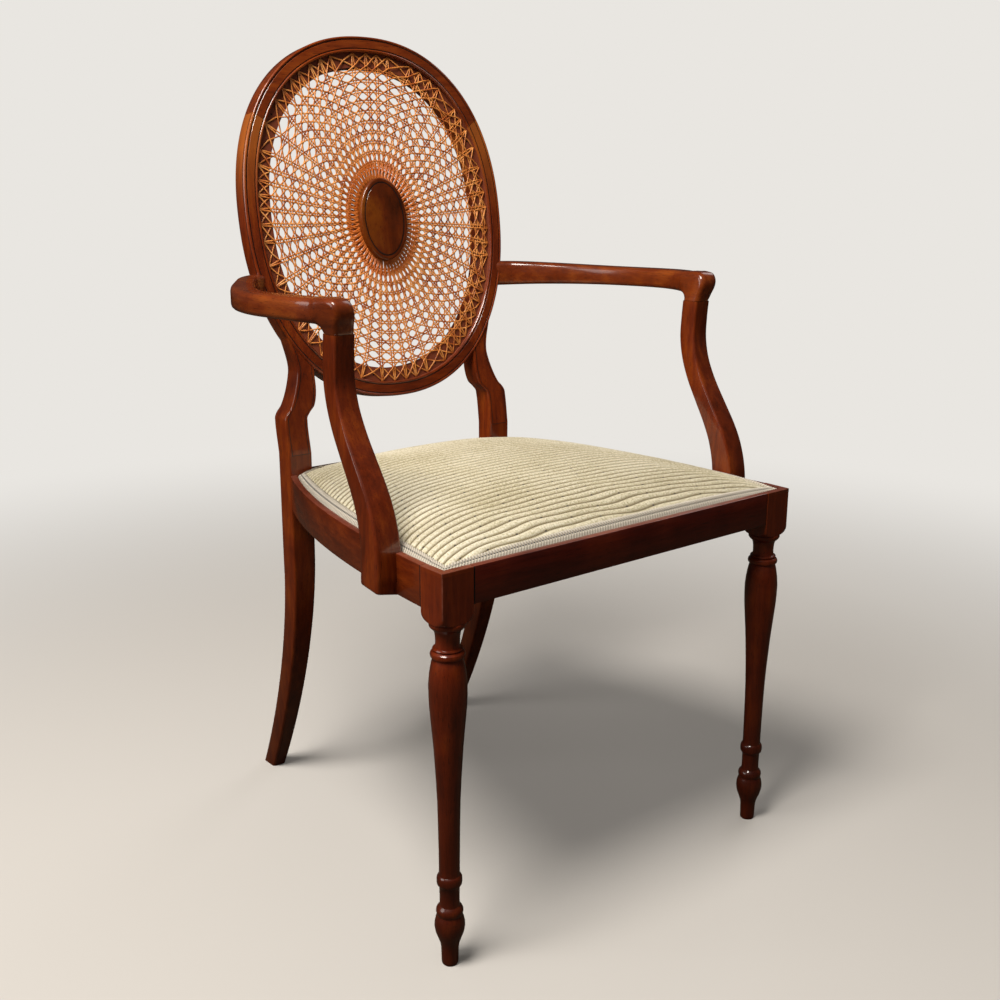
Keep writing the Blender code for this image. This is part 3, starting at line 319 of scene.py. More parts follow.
rail = bmesh.new()
shoulder = LEG_X - HALF_BLOCK - GAP
stations = [(-shoulder, EASED_END), (EASED_END - shoulder, 0.0)]
stations += [(-shoulder + 2 * shoulder * i / 12, 0.0) for i in range(1, 12)]
stations += [(shoulder - EASED_END, 0.0), (shoulder, EASED_END)]
sweep(rail, [[(x, 0.0005 - HALF_DEPTH + max(into, inset), height) for into, height in rail_section(0.022, 0.378)]
             for x, inset in stations], bands={0: 2, len(stations) - 2: 2})
paint_top_sheen_and_wear(rail)
settle("front_seat_rail", rail, [shade_darkened_rail_across, sheen_and_wear_across, joint_dirt], ["front_rail"])

rail = bmesh.new()
shoulder = POST_OUTER - POST_WIDTH - GAP
sweep(rail, [[(-shoulder + 2 * shoulder * i / 8, SEAT_DEPTH + POST_DEPTH - into, height)
              for into, height in rail_section(0.024, 0.365, 0.0175)] for i in range(9)])
paint_top_sheen_and_wear(rail)
settle("rear_seat_rail", rail, [shade_darkened_rail_across, sheen_and_wear_across], ["rear_rail"])

for side, word in SIDES:
    rail = bmesh.new()
    sections = []
    for u, inset in [(0.0, EASED_END), (0.0025, 0.0)] + [(i / 40, 0.0) for i in range(1, 41)]:
        x, y = side_curve(u)
        slope = side_slope(u)
        sections.append([(side * (x - min(max(into, inset) * slope, POST_WIDTH)), y, height)
                         for into, height in rail_section(0.024, 0.374)])
    sweep(rail, sections, bands={0: 2})
    paint_top_sheen_and_wear(rail)
    settle(f"side_seat_rail_{word}", rail, [rail_along, sheen_and_wear_along, joint_dirt], [f"side_rail_{word}"])

# Front legs: turned from mahogany on the lathe, with a collar, ring and vase, a slim taper, a lower ring and a
# bulb foot. The square block above is left for the mortises of the rails.

LEG_TURNED = 0.37
BLOCK_FOOT = 0.3618
# Height, in shares of the turned length, and radius in metres, from the block down
LEG_TURNING = (
    (0.9785, 0.0166), (0.976, 0.0174), (0.9715, 0.0177), (0.9675, 0.0174), (0.964, 0.0166), (0.9605, 0.0153),
    (0.958, 0.0141), (0.9545, 0.0131), (0.948, 0.0123), (0.938, 0.0118), (0.925, 0.0116), (0.914, 0.0118),
    (0.91, 0.0122), (0.9087, 0.0141), (0.906, 0.0146), (0.9035, 0.0142), (0.9018, 0.0135), (0.9, 0.0151),
    (0.8965, 0.0163), (0.891, 0.0168), (0.8855, 0.0163), (0.8825, 0.0153), (0.88, 0.0146), (0.8775, 0.0148),
    (0.87, 0.0156), (0.858, 0.0165), (0.838, 0.0177),
    (0.81, 0.0186), (0.78, 0.01845), (0.751, 0.018), (0.712, 0.0168), (0.67, 0.0154), (0.63, 0.01425),
    (0.589, 0.0133), (0.536, 0.0122), (0.481, 0.0113), (0.4, 0.0107), (0.33, 0.0104), (0.289, 0.0103),
    (0.272, 0.0104), (0.268, 0.0107), (0.2655, 0.0117), (0.262, 0.0124), (0.256, 0.0127), (0.248, 0.0127),
    (0.242, 0.0124), (0.238, 0.0116), (0.2355, 0.0105), (0.232, 0.0101), (0.205, 0.0099), (0.184, 0.01),
    (0.178, 0.0103), (0.175, 0.0113), (0.171, 0.0126), (0.166, 0.0134), (0.16, 0.0136), (0.154, 0.0132),
    (0.15, 0.0126), (0.1475, 0.0128), (0.144, 0.0135), (0.137, 0.0143), (0.127, 0.01505), (0.116, 0.0152),
    (0.104, 0.0146), (0.092, 0.0134), (0.078, 0.0114), (0.064, 0.0096), (0.05, 0.0088), (0.03, 0.0086),
    (0.012, 0.0084), (0.004, 0.0082), (0.0, 0.0074),
)
# The square is turned to a round shoulder at its foot, which cuts its corners most: rise, and widest radius
SHOULDER = ((0.0, 0.0176), (0.0005, 0.0194), (0.0015, 0.0211), (0.0032, 0.0227), (0.0056, 0.0241), (0.0084, 0.0253),
            (REBATE_FLOOR - BLOCK_FOOT, 0.026))
leg_wood = mahogany("polished_mahogany_turned", "Z", "#401002", "#642006", "#86360c", 0.6)
square = []
for x, y, ahead_x, ahead_y in ((1, -1, 0, 1), (1, 1, -1, 0), (-1, 1, 0, -1), (-1, -1, 1, 0)):
    reach = 2 * (HALF_DEPTH if ahead_y else HALF_BLOCK)
    for along in [0.0009] + [reach * k / 12 for k in range(1, 12)] + [reach - 0.0009]:
        square.append((x * HALF_BLOCK + ahead_x * along, y * HALF_DEPTH + ahead_y * along))
# The corner of the rebate: an L of wood stands up round the two outer sides of the block.
outer_x, outer_y, inner_x, inner_y = HALF_BLOCK, -HALF_DEPTH, HALF_BLOCK - LIP, LIP - HALF_DEPTH
CORNER = [(-outer_x, outer_y + 0.0007), (-outer_x + 0.0007, outer_y), (outer_x - 0.0009, outer_y),
          (outer_x - 0.00025, outer_y + 0.00025), (outer_x, outer_y + 0.0009), (outer_x, HALF_DEPTH - 0.0007),
          (outer_x - 0.0007, HALF_DEPTH), (inner_x, HALF_DEPTH), (inner_x, inner_y), (-outer_x, inner_y)]
for side, word in SIDES:
    leg = bmesh.new()
    line = [leg.verts.new((0.0, 0.0, BLOCK_FOOT + 0.004)), leg.verts.new((0.015, 0.0, BLOCK_FOOT + 0.004))]
    line += [leg.verts.new((radius, 0.0, LEG_TURNED * share)) for share, radius in LEG_TURNING]
    line.append(leg.verts.new((0.0, 0.0, 0.0)))
    wire = [leg.edges.new(pair) for pair in zip(line, line[1:])]
    bmesh.ops.spin(leg, geom=line + wire, cent=(0, 0, 0), axis=(0, 0, 1), angle=2 * math.pi, steps=44,
                   use_merge=True, use_duplicate=False)
    sections = []
    for rise, widest in SHOULDER:
        cuts = [min(widest / math.hypot(x, y), 1.0) for x, y in square]
        sections.append([(x * cut, y * cut, BLOCK_FOOT + rise) for (x, y), cut in zip(square, cuts)])
    sweep(leg, sections)
    sweep(leg, [[(side * x, y, height) for x, y in CORNER] for height in (REBATE_FLOOR, SEAT_HEIGHT - 0.0004)]
          + [[(side * (x - math.copysign(0.0004, x)), y - math.copysign(0.0004, y), SEAT_HEIGHT) for x, y in CORNER]])
    bmesh.ops.translate(leg, vec=(side * LEG_X, 0.0, 0.0), verts=leg.verts)
    paint_top_sheen_and_wear(leg)
    # The block's outer corner is paler: a painted highlight, and rubbing where knees and dusters catch it.
    for face in leg.faces:
        middle, outward = face.calc_center_median(), min(side * face.normal.x, -face.normal.y)
        if middle.z > BLOCK_FOOT + 0.011 and side * middle.x > LEG_X and outward > 0.3:
            face.material_index = 1
    settle(f"turned_leg_{word}", leg, [leg_wood, sheen_and_wear_along], [f"front_leg_{word}"], 28)

# Rear posts: each sabre leg, S-shaped post and side of the oval is sawn from one mahogany plank, so the grain
# runs up it. The front face carries a dark inlaid line, and the oval has a bead on both edges and a ledge.

RAKE = math.radians(9.0)
OVAL_HEIGHT, OVAL_Y, OVAL_A, OVAL_B = 0.704, 0.428, 0.1846, 0.2149
ROUNDNESS, EGG = 0.903, 0.026
UPRIGHT = Matrix.Rotation(math.pi / 2 - RAKE, 4, "X")
BACK = Matrix.Translation((0, OVAL_Y, OVAL_HEIGHT)) @ UPRIGHT
CREST_ANGLE = math.pi * 0.18
LOWER_JOINT = 0.119
LEAN_FROM, KNEE, JOIN, WAIST = 0.439, 0.479, 0.58, 0.142
LINE_START, LINE_WIDTH = 0.4375, 0.001
# Section of the oval frame: distance in from the edge and height over its face
OVAL_SECTION = (
    (0.0, -0.0185), (0.0, -0.0022), (0.0002, -0.0014), (0.0, -0.0008), (0.0003, 0.0004), (0.001, 0.0012),
    (0.0019, 0.0015), (0.0028, 0.0012), (0.0034, 0.0006), (0.0044, 0.0006), (0.0048, 0.001), (0.0134, 0.001),
    (0.0138, 0.0006), (0.0148, 0.0006), (0.0152, 0.0011), (0.0161, 0.0015), (0.0171, 0.0012), (0.0178, 0.0004),
    (0.018, -0.0006), (0.018, -0.0045), (0.035, -0.0045), (0.0352, -0.005), (0.0352, -0.0195),
    (0.0345, -0.0205), (0.002, -0.0205), (0.0006, -0.0199),
)
# The steps of the section that carry a dark line, and those of the stained ledge
OVAL_TINTS = {1: 1, 2: 1, 8: 1, 12: 1, 18: 2, 19: 2, 20: 2}


def flow(rows, between=4):
    """Rows of sizes with more rows between them, each size eased along a smooth curve over the first one."""
    out = []
    for i, (a, b) in enumerate(zip(rows, rows[1:])):
        before, after = rows[max(i - 1, 0)], rows[min(i + 2, len(rows) - 1)]
        for k in range(between):
            t = k / between
            row = []
            for j in range(len(a)):
                leave = (b[j] - before[j]) / (b[0] - before[0]) * (b[0] - a[0])
                arrive = (after[j] - a[j]) / (after[0] - a[0]) * (b[0] - a[0])
                row.append((2 * t**3 - 3 * t * t + 1) * a[j] + (t**3 - 2 * t * t + t) * leave
                           + (3 * t * t - 2 * t**3) * b[j] + (t**3 - t * t) * arrive)
            out.append(tuple(row))
    return out + [tuple(rows[-1])]


def eased_section(width, depth, round_front, round_back, line=None):
    """Rounded rectangle about its middle, as points across and along. The front is at -along. A line is inlaid
    near both edges of the front face: its distance in and its width."""
    a, b = width / 2, depth / 2
    points = []
    for sign_x, sign_y, radius, start in ((1, -1, round_front, 270), (1, 1, round_back, 0), (-1, 1, round_back, 90),
                                          (-1, -1, round_front, 180)):
        for k in range(4):
            turn = math.radians(start + 30 * k)
            points.append((sign_x * (a - radius) + radius * math.cos(turn),
                           sign_y * (b - radius) + radius * math.sin(turn)))
    if line:
        into, wide = line
        points = [(a - into, -b)] + points + [(into - a, -b), (into + wide - a, -b), (a - into - wide, -b)]
    return points


def oval_point(angle, offset):
    """Point on the oval, moved in from its outer edge: across the back and up along it."""
    c, s = math.cos(angle), math.sin(angle)
    across = (OVAL_A - offset) * math.copysign(abs(c) ** ROUNDNESS, c) * (1 + EGG * s)
    return across, (OVAL_B - offset) * math.copysign(abs(s) ** ROUNDNESS, s)


def lower_cut(offset, gap=0.0):
    """Angle in the lower right quarter at which the joint crosses the oval at an offset from its edge."""
    low, high = -math.pi / 2, 0.0
    for _ in range(40):
        middle = (low + high) / 2
        low, high = (middle, high) if oval_point(middle, offset)[0] < LOWER_JOINT + gap else (low, middle)
    return low


def oval_arc(bm, start, end, steps, side=1):
    """One segment of the oval frame. start and end give the angle of its ends at an offset from the edge."""
    sections = []
    for i in range(steps + 1):
        section = []
        for offset, depth in OVAL_SECTION:
            angle = start(offset) + (end(offset) - start(offset)) * i / steps
            across, up = oval_point(angle, offset)
            section.append(BACK @ Vector((side * across, up, depth)))
        sections.append(section)
    sweep(bm, sections, OVAL_TINTS)


def oval_edge(height):
    """Outer edge of the oval at a height in its lower half."""
    up = (OVAL_HEIGHT - height) / (math.cos(RAKE) * OVAL_B)
    return oval_point(-math.asin(up ** (1 / ROUNDNESS)), 0.0)[0]


black_line = inlay("ebonised_line", "#180804", 0.45)
ledge_stain = inlay("dull_stained_ledge", "#7a3618", 0.75)
post_wood = mahogany("polished_mahogany_sawn_upright", "Z", "#4c1503", "#742a06", "#98450c", 0.55, 0.4)
# Height, outer edge, width, front face, depth, and the rounding of the front and back edges
POST_STATIONS = [(0.31 * s, 0.156 + 0.01 * s, 0.0185 + 0.0115 * s, SEAT_DEPTH + 0.0935 * (1 - s) ** 1.7, POST_DEPTH,
                  0.0042 - 0.0022 * s, 0.005 - 0.0025 * s)
                 for s in (0.0, 0.08, 0.17, 0.27, 0.38, 0.5, 0.63, 0.77, 0.9, 1.0)]
POST_STATIONS += [(z, POST_OUTER, POST_WIDTH, SEAT_DEPTH, POST_DEPTH, front, back)
                  for z, front, back in ((0.36, 0.0018, 0.0025), (0.41, 0.0018, 0.0025), (LINE_START, 0.0016, 0.0022),
                                         (LINE_START + LINE_WIDTH, 0.0016, 0.0022))]
# Rise from the knee to the oval, way out from post to waist and on to the oval, shares of the width and depth
for rise, over, wide, deep in (
    (0.0, 0.0, 1.0, 1.0), (0.07, 0.14, 1.05, 1.0), (0.14, 0.41, 1.06, 1.0), (0.3, 0.73, 0.95, 0.97),
    (0.5, 0.98, 0.76, 0.94), (0.6, 1.0, 0.745, 0.92), (0.73, 1.2, 0.74, 0.88), (0.87, 1.56, 0.58, 0.78),
    (1.0, 1.86, 0.4, 0.68),
):
    z = KNEE + (JOIN - KNEE) * rise
    outer = POST_OUTER + (WAIST - POST_OUTER) * over if over < 1 else WAIST + (oval_edge(JOIN) - WAIST) * (over - 1)
    POST_STATIONS.append((z, outer, POST_WIDTH * wide, SEAT_DEPTH + (z - LEAN_FROM) * math.tan(RAKE),
                          POST_DEPTH * deep, 0.0016, 0.0022))
for side, word in SIDES:
    post = bmesh.new()
    sections = []
    for z, outer, width, front, depth, round_front, round_back in flow(POST_STATIONS):
        plan = eased_section(width, depth, round_front, round_back, (0.0034, LINE_WIDTH))
        sections.append([(side * (outer - width / 2 + x), front + depth / 2 + y, z) for x, y in plan])
    line_starts = next(i for i, section in enumerate(sections) if section[0][2] > LINE_START - 0.0001)
    sweep(post, sections, {17: 1, 19: 1}, line_starts)
    # The line turns across the post just above the seat.
    bmesh.ops.recalc_face_normals(post, faces=post.faces)
    for face in post.faces:
        middle = face.calc_center_median()
        over_line, from_axis = middle.z - LINE_START, abs(middle.x) - POST_OUTER + POST_WIDTH / 2
        if 0.3 < over_line / LINE_WIDTH < 1.1 and face.normal.y < -0.5 and abs(from_axis) < 0.0116:
            face.material_index = 1
    oval_arc(post, lambda offset: lower_cut(offset, GAP), lambda offset: CREST_ANGLE, 96, side)
    settle(f"rear_post_and_oval_side_{word}", post, [post_wood, black_line, ledge_stain], [f"rear_post_{word}"],
           30)

# Crest rail and lower rail of the oval: short grained segments dowelled between the posts and worked to the
# same section once the oval was glued up. They take the stain darker than the posts.

crest_wood = mahogany("dark_mahogany_crest", "X", "#441404", "#762e08", "#9a480e", 0.55)
crest = bmesh.new()
crest_end = CREST_ANGLE + GAP / OVAL_A
oval_arc(crest, lambda offset: crest_end, lambda offset: math.pi - crest_end, 110)
settle("crest_rail_segment", crest, [crest_wood, black_line, ledge_stain], ["crest_rail"], 30)

lower_wood = mahogany("mahogany_lower_rail", "X", "#3a1003", "#662406", "#883a0a", 0.55)
lower = bmesh.new()
oval_arc(lower, lambda offset: -math.pi - lower_cut(offset), lower_cut, 70)
settle("lower_rail_segment", lower, [lower_wood, black_line, ledge_stain], ["lower_back_rail"], 30)

# Boss: an oval of dark burr veneer with a black line and a plainer rim, in two halves that are glued together
# through the middle of the cane and clamp it.

BOSS_A, BOSS_B = 0.0335, 0.0493
# Distance in from the edge, and share of the thickness there
BOSS_FACE = ((0.0, 0.0), (0.0, 0.66), (0.0004, 0.86), (0.0014, 0.98), (0.0024, 1.0), (0.0048, 0.97), (0.0065, 0.97),
             (0.0067, 1.0), (0.015, 1.03), (0.025, 1.05))
BOSS_BACKING = [(into, min(1.0 - share, 1.0)) for into, share in BOSS_FACE]
burr = mahogany("burr_mahogany_veneer", "Z", "#301001", "#602402", "#8c4a08", 1.6)
for name, node, base, top, rows, bands in (("boss_face", "boss_front", -0.0021, 0.0049, BOSS_FACE, {5: 1}),
                                           ("boss_backing", "boss_back", -0.0085, -0.0045, BOSS_BACKING, {})):
    boss = bmesh.new()
    turns = [2 * math.pi * k / 72 for k in range(72)]
    sweep(boss, [[BACK @ Vector(((BOSS_A - into) * math.cos(turn), (BOSS_B - into) * math.sin(turn),
                                 base + share * (top - base))) for turn in turns] for into, share in rows],
          bands=bands)
    settle(name, boss, [burr, black_line], [node])

# Cane: split rattan, laced by hand through holes in the ledge and round the boss. Pairs run out from the boss
# and round it, and two slanting strands cross each of their crossings, then fan out to the holes in a zigzag.

# Angles of the holes round the oval, in degrees. The joints of the frame leave wider steps.
HOLE_ANGLES = (
    3.0, 7.8, 12.0, 16.6, 24.4, 31.6, 36.6, 41.4, 52.8, 58.2, 64.0, 69.0, 80.2, 85.2, 89.4, 94.2, 104.2, 109.2,
    114.6, 121.0, 126.0, 131.8, 137.4, 147.8, 157.8, 162.8, 167.8, 172.4, 176.6, 180.4, 184.8, 192.6, 199.6,
    205.7, 211.4, 217.4, 223.7, 231.6, 238.8, 246.7, 253.0, 263.2, 268.8, 273.4, 278.2, 284.5, 295.2, 301.0,
    306.4, 311.5, 317.5, 322.4, 328.3, 333.2, 337.9, 347.8, 351.7, 356.6,
)
HOLE_COUNT = len(HOLE_ANGLES)
HOLE_OFFSET, CANE_PLANE = 0.0185, -0.0032
RING_COUNT, RING_HALF_GAP = 10, 0.00135
# How far a strand lies over the plane of the cane where it crosses another
OVER = 0.00042
# A spoke's length, and the share of it over which its bearing stays even
SPOKE_LENGTH, FIELD_SHARE = 0.138, 0.86


def column(place):
    """Angle of a hole, or of a place between two holes, counted round the oval."""
    whole = math.floor(place)
    here, ahead = (HOLE_ANGLES[k % HOLE_COUNT] + 360 * (k // HOLE_COUNT) for k in (whole, whole + 1))
    return here + (ahead - here) * (place - whole)


# The steps evened out over nine holes and over three
EVENED = [[sum(column(i + j) * w for j, w in enumerate(weights, -(len(weights) // 2))) / sum(weights)
           for i in range(HOLE_COUNT + 1)] for weights in ((1,) * 9, (1, 2, 1))]


def bearing(angle, share):
    """Angle of a spoke at a share of its length: even at the boss, nearly so in the field, then on to its hole."""
    turns, rest = divmod(angle - HOLE_ANGLES[0], 360)
    k = bisect.bisect_right(HOLE_ANGLES, rest + HOLE_ANGLES[0]) - 1
    part = (rest + HOLE_ANGLES[0] - column(k)) / (column(k + 1) - column(k))
    near, field = (evened[k] + (evened[k + 1] - evened[k]) * part for evened in EVENED)
    if share < FIELD_SHARE:
        return near + (field - near) * share / FIELD_SHARE + 360 * turns
    beyond = (min(share, 1.0) - FIELD_SHARE) / (1 - FIELD_SHARE)
    return field + 360 * turns + (angle - field - 360 * turns) * beyond


def spoke(angle, share=1.0):
    """Where a spoke would leave the boss at its bearing, its direction, and how far it is to the holes."""
    turn = math.radians(bearing(angle, share))
    near = Vector((BOSS_A * math.cos(turn), BOSS_B * math.sin(turn), 0.0))
    far = Vector((*oval_point(turn, HOLE_OFFSET), 0.0))
    return near, (far - near).normalized(), (far - near).length


def ring_at(number, angle):
    """How far from the boss a ring runs: the rings lie an even 11.5 mm apart, a little off centre."""
    turn = math.radians(angle)
    pitch = 0.01156 + 0.00034 * math.cos(turn) - 0.00037 * math.cos(2 * turn)
    return 0.0238 + 0.0045 * math.cos(turn - 0.35) + (number - 0.5) * pitch


def on_cane(angle, out, aside=0.0, lift=0.0):
    """Point of the cane: out along the spoke from the boss's edge, and aside from it."""
    near, along, _ = spoke(angle, max(out, 0.0) / SPOKE_LENGTH)
    spot = near + along * out + Vector((-along.y, along.x, 0.0)) * aside
    spot.z = CANE_PLANE + lift
    return spot


def lay_strand(bm, path, width, closed=False):
    """A flat strand of cane along a path, its bark side crowned to the front."""
    last = len(path) - 1
    for vert in bmesh.ops.create_grid(bm, x_segments=last, y_segments=2, size=0.5)["verts"]:
        k, across = round((vert.co.x + 0.5) * last), round(vert.co.y * 2)
        before = path[(k - 1) % last] if closed else path[max(k - 1, 0)]
        after = path[(k + 1) % last] if closed else path[min(k + 1, last)]
        along = after - before
        spot = path[k] + Vector((-along.y, along.x, 0.0)).normalized() * (across * width / 2)
        spot.z += 0.0 if across else 0.00022
        vert.co = BACK @ spot


def pair_gap(out, reach=1.0):
    """Half the distance between the strands of a spoke: close at the boss, wide in the field, none at the hole."""
    return min(0.0008 + 0.01 * max(0.0, out - 0.016), (reach - out) * 0.11 + 0.0004)


def cane_bark(name, pale, tan, brown):
    """Split rattan bark: hard, slightly glossy, fine lengthways fibres, darker nodes and age near the boss."""
    material, add = new_shader(name)
    place = add("TexCoord").outputs["Object"]
    patches = add("TexNoise", place, Scale=95.0, Detail=4.0)
    tones = add("ValToRGB", patches, stops=((0.34, brown), (0.5, tan), (0.68, pale)))
    centred = add("Mapping", place, Location=(0.0, 0.0, -OVAL_HEIGHT / 0.09), Scale=(1 / 0.066, 0.0, 1 / 0.09))
    out = add("VectorMath", centred, operation="LENGTH")
    age = add("MapRange", out, 0.7, 0.92, 0.8, 0.0)
    aged = add("Mix", age, tones, "#cc6822", data_type="RGBA")
    fibres = add("TexNoise", place, Scale=1600.0)
    relief = add("Bump", Height=fibres, Strength=0.25, Distance=0.0001)
    gloss = add("MapRange", patches, 0.0, 1.0, 0.34, 0.54)
    add("OutputMaterial", add("BsdfPrincipled", Base_Color=aged, Roughness=gloss, IOR=1.5, Normal=relief))
    return material


def thicken(piece, thickness, offset):
    """Give a sheet its thickness."""
    shell = piece.modifiers.new("thickness", "SOLIDIFY")
    shell.thickness, shell.offset = thickness, offset


def weave_piece(name, bm, material):
    """Turn laid strands into a piece of the cane panel: bark to the front, thickness behind it."""
    bmesh.ops.recalc_face_normals(bm, faces=bm.faces)
    if sum(face.normal.y for face in bm.faces) > 0:
        bmesh.ops.reverse_faces(bm, faces=bm.faces)
    thicken(stand_in(name, bm, [material], ["cane_panel"]), 0.0004, -1.0)


cane = cane_bark("split_rattan_bark", "#f3a85e", "#dd893e", "#b05922")
spokes, loops = bmesh.new(), bmesh.new()
for i, angle in enumerate(HOLE_ANGLES):
    reach = spoke(angle)[2]
    for k, side in enumerate((-1, 1)):
        path = [on_cane(angle, -0.006, side * 0.00085, -0.0002), on_cane(angle, 0.004, side * 0.00085, OVER),
                on_cane(angle, 0.011, side * 0.0009, OVER)]
        for ring in range(RING_COUNT):
            out = ring_at(ring, angle)
            for m, at in enumerate((out - RING_HALF_GAP, out + RING_HALF_GAP)):
                if at < reach - 0.004:
                    path.append(on_cane(angle, at, side * pair_gap(at, reach), OVER if (k + m) % 2 else -OVER))
            middle = ring_at(ring + 0.5, angle)
            if middle < reach - 0.012:
                path.append(on_cane(angle, middle, side * pair_gap(middle, reach)))
        path.append(on_cane(angle, reach - 0.0012, side * 0.0005, 0.0))
        path.append(on_cane(angle, reach, side * 0.0004, -0.0009))
        lay_strand(spokes, path, 0.0017)
    # Behind the spokes a loop is wound round the boss's edge and back. It closes the collar: its dark tone is painted
    # shade.
    lay_strand(loops, [on_cane(column(i + 0.5), out, 0.0, lift) for out, lift in (
        (-0.006, -0.0012), (0.003, -0.0012), (0.009, -0.001), (0.012, -OVER))], 0.0021)
weave_piece("cane_spokes", spokes, cane)
weave_piece("cane_collar_loops", loops, cane_bark("rattan_bark_darkened_for_painted_shade", "#8a4416", "#5c2408", "#3a1203"))

rings = bmesh.new()
for ring in range(RING_COUNT):
    for m, step in enumerate((-RING_HALF_GAP, RING_HALF_GAP)):
        path = []
        for i, angle in enumerate(HOLE_ANGLES):
            at = ring_at(ring, angle) + step
            for k, side in enumerate((-1, 1)):
                path.append(on_cane(angle, at, side * pair_gap(at), -OVER if (k + m) % 2 else OVER))
            for share in (0.35, 0.65):
                between = angle + (column(i + 1) - angle) * share
                path.append(on_cane(between, ring_at(ring, between) + step))
        lay_strand(rings, path + [path[0]], 0.0016, True)
for out in (0.0105, 0.014):
    path = [on_cane(angle + turn, out, 0.0, lift) for i, angle in enumerate(HOLE_ANGLES)
            for turn, lift in ((0.0, -OVER if i % 2 else OVER), (2.4, 0.0))]
    lay_strand(rings, path + [path[0]], 0.0015, True)
weave_piece("cane_rings", rings, cane)

# Each slanting strand runs from its hole over the ledge, crosses its neighbour half-way, and then keeps between
# the open cells: it meets every ring in the middle of a cell and every spoke in the middle of a row.
for way, name in ((1, "cane_slants_right"), (-1, "cane_slants_left")):
    slants = bmesh.new()
    lift = way * 0.0008
    for i in range(HOLE_COUNT):
        reach = spoke(HOLE_ANGLES[i])[2]
        path = [on_cane(column(i), reach, way * 0.0006, -0.0008), on_cane(column(i), reach - 0.0012, way * 0.0008)]
        at = i + way
        landing = column(at)
        reach = spoke(landing)[2]
        ring = max(r for r in range(RING_COUNT) if ring_at(r + 0.5, landing) < reach - 0.01)
        start = ring_at(ring + 0.5, landing)
        path.append(on_cane(column(i + 0.5 * way), (start + reach) / 2, 0.0, 0.3 * lift))
        path.append(on_cane(landing, start, 0.0, lift))
        while ring >= 0:
            path.append(on_cane(column(at + 0.5 * way), ring_at(ring, column(at + 0.5 * way)), 0.0, -0.5 * lift))
            at, ring = at + way, ring - 1
            if ring >= 0:
                path.append(on_cane(column(at), ring_at(ring + 0.5, column(at)), 0.0, lift))
        path.append(on_cane(column(at), 0.009, 0.0, lift))
        path += [on_cane(column(at + 0.5 * way), out, 0.0, -0.5 * lift) for out in (0.001, -0.004)]
        lay_strand(slants, path, 0.0016)
    weave_piece(name, slants, cane)

# Some holes in the ledge stand empty: their angle, and how much further in they lie.
EMPTY_HOLES = ((45.5, 0.01), (75.0, 0.006), (99.0, 0.011), (143.0, 0.004), (153.0, 0.008), (28.0, 0.006),
               (187.5, 0.008), (290.0, 0.005), (259.0, 0.007), (342.5, 0.006))
# Every hole is drawn as a flat near-black disc on the ledge: painted shade for its depth.
holes = bmesh.new()
for angle, deeper in [(angle, 0.0004) for angle in HOLE_ANGLES] + list(EMPTY_HOLES):
    spot = BACK @ Vector((*oval_point(math.radians(angle), HOLE_OFFSET + deeper), -0.00446))
    bmesh.ops.create_circle(holes, cap_ends=True, segments=8, radius=0.0012,
                            matrix=Matrix.Translation(spot) @ UPRIGHT)
settle("holes_in_ledge", holes, [inlay("painted_shade_of_drilled_hole", "#070201", 0.9)], [])

# Arms: sawn and shaped from mahogany, dowelled to the sides of the oval, bowed out and forward, with a rolled
# knuckle at the front that comes down on the support.

ARM_TOP = 0.6465
ARM_X = 0.2668
SUPPORT_X = 0.249
JOINT_Y, JOINT_Z = 0.138, 0.614
# The knuckle rolls over round this radius, and its axis lies half a support and the radius behind the joint.
KNUCKLE_RADIUS = 0.0085
KNUCKLE_Y = JOINT_Y + 0.0115 + KNUCKLE_RADIUS
KNUCKLE_OUT, KNUCKLE_WIDTH = 0.008, 0.0266
ARM_DIP = 0.0024
# Forward from the oval's edge to the joint, out to the widest place, width and depth of the arm
ARM_PLAN = ((0.0, 0.0, 0.0185, 0.031), (0.058, 0.22, 0.02, 0.03), (0.188, 0.5, 0.0235, 0.027),
            (0.322, 0.74, 0.0265, 0.0245), (0.452, 0.9, 0.0275, 0.023), (0.609, 1.0, 0.0275, 0.0226),
            (0.781, 0.99, 0.0272, 0.0228), (0.87, 0.955, 0.0268, 0.0234))
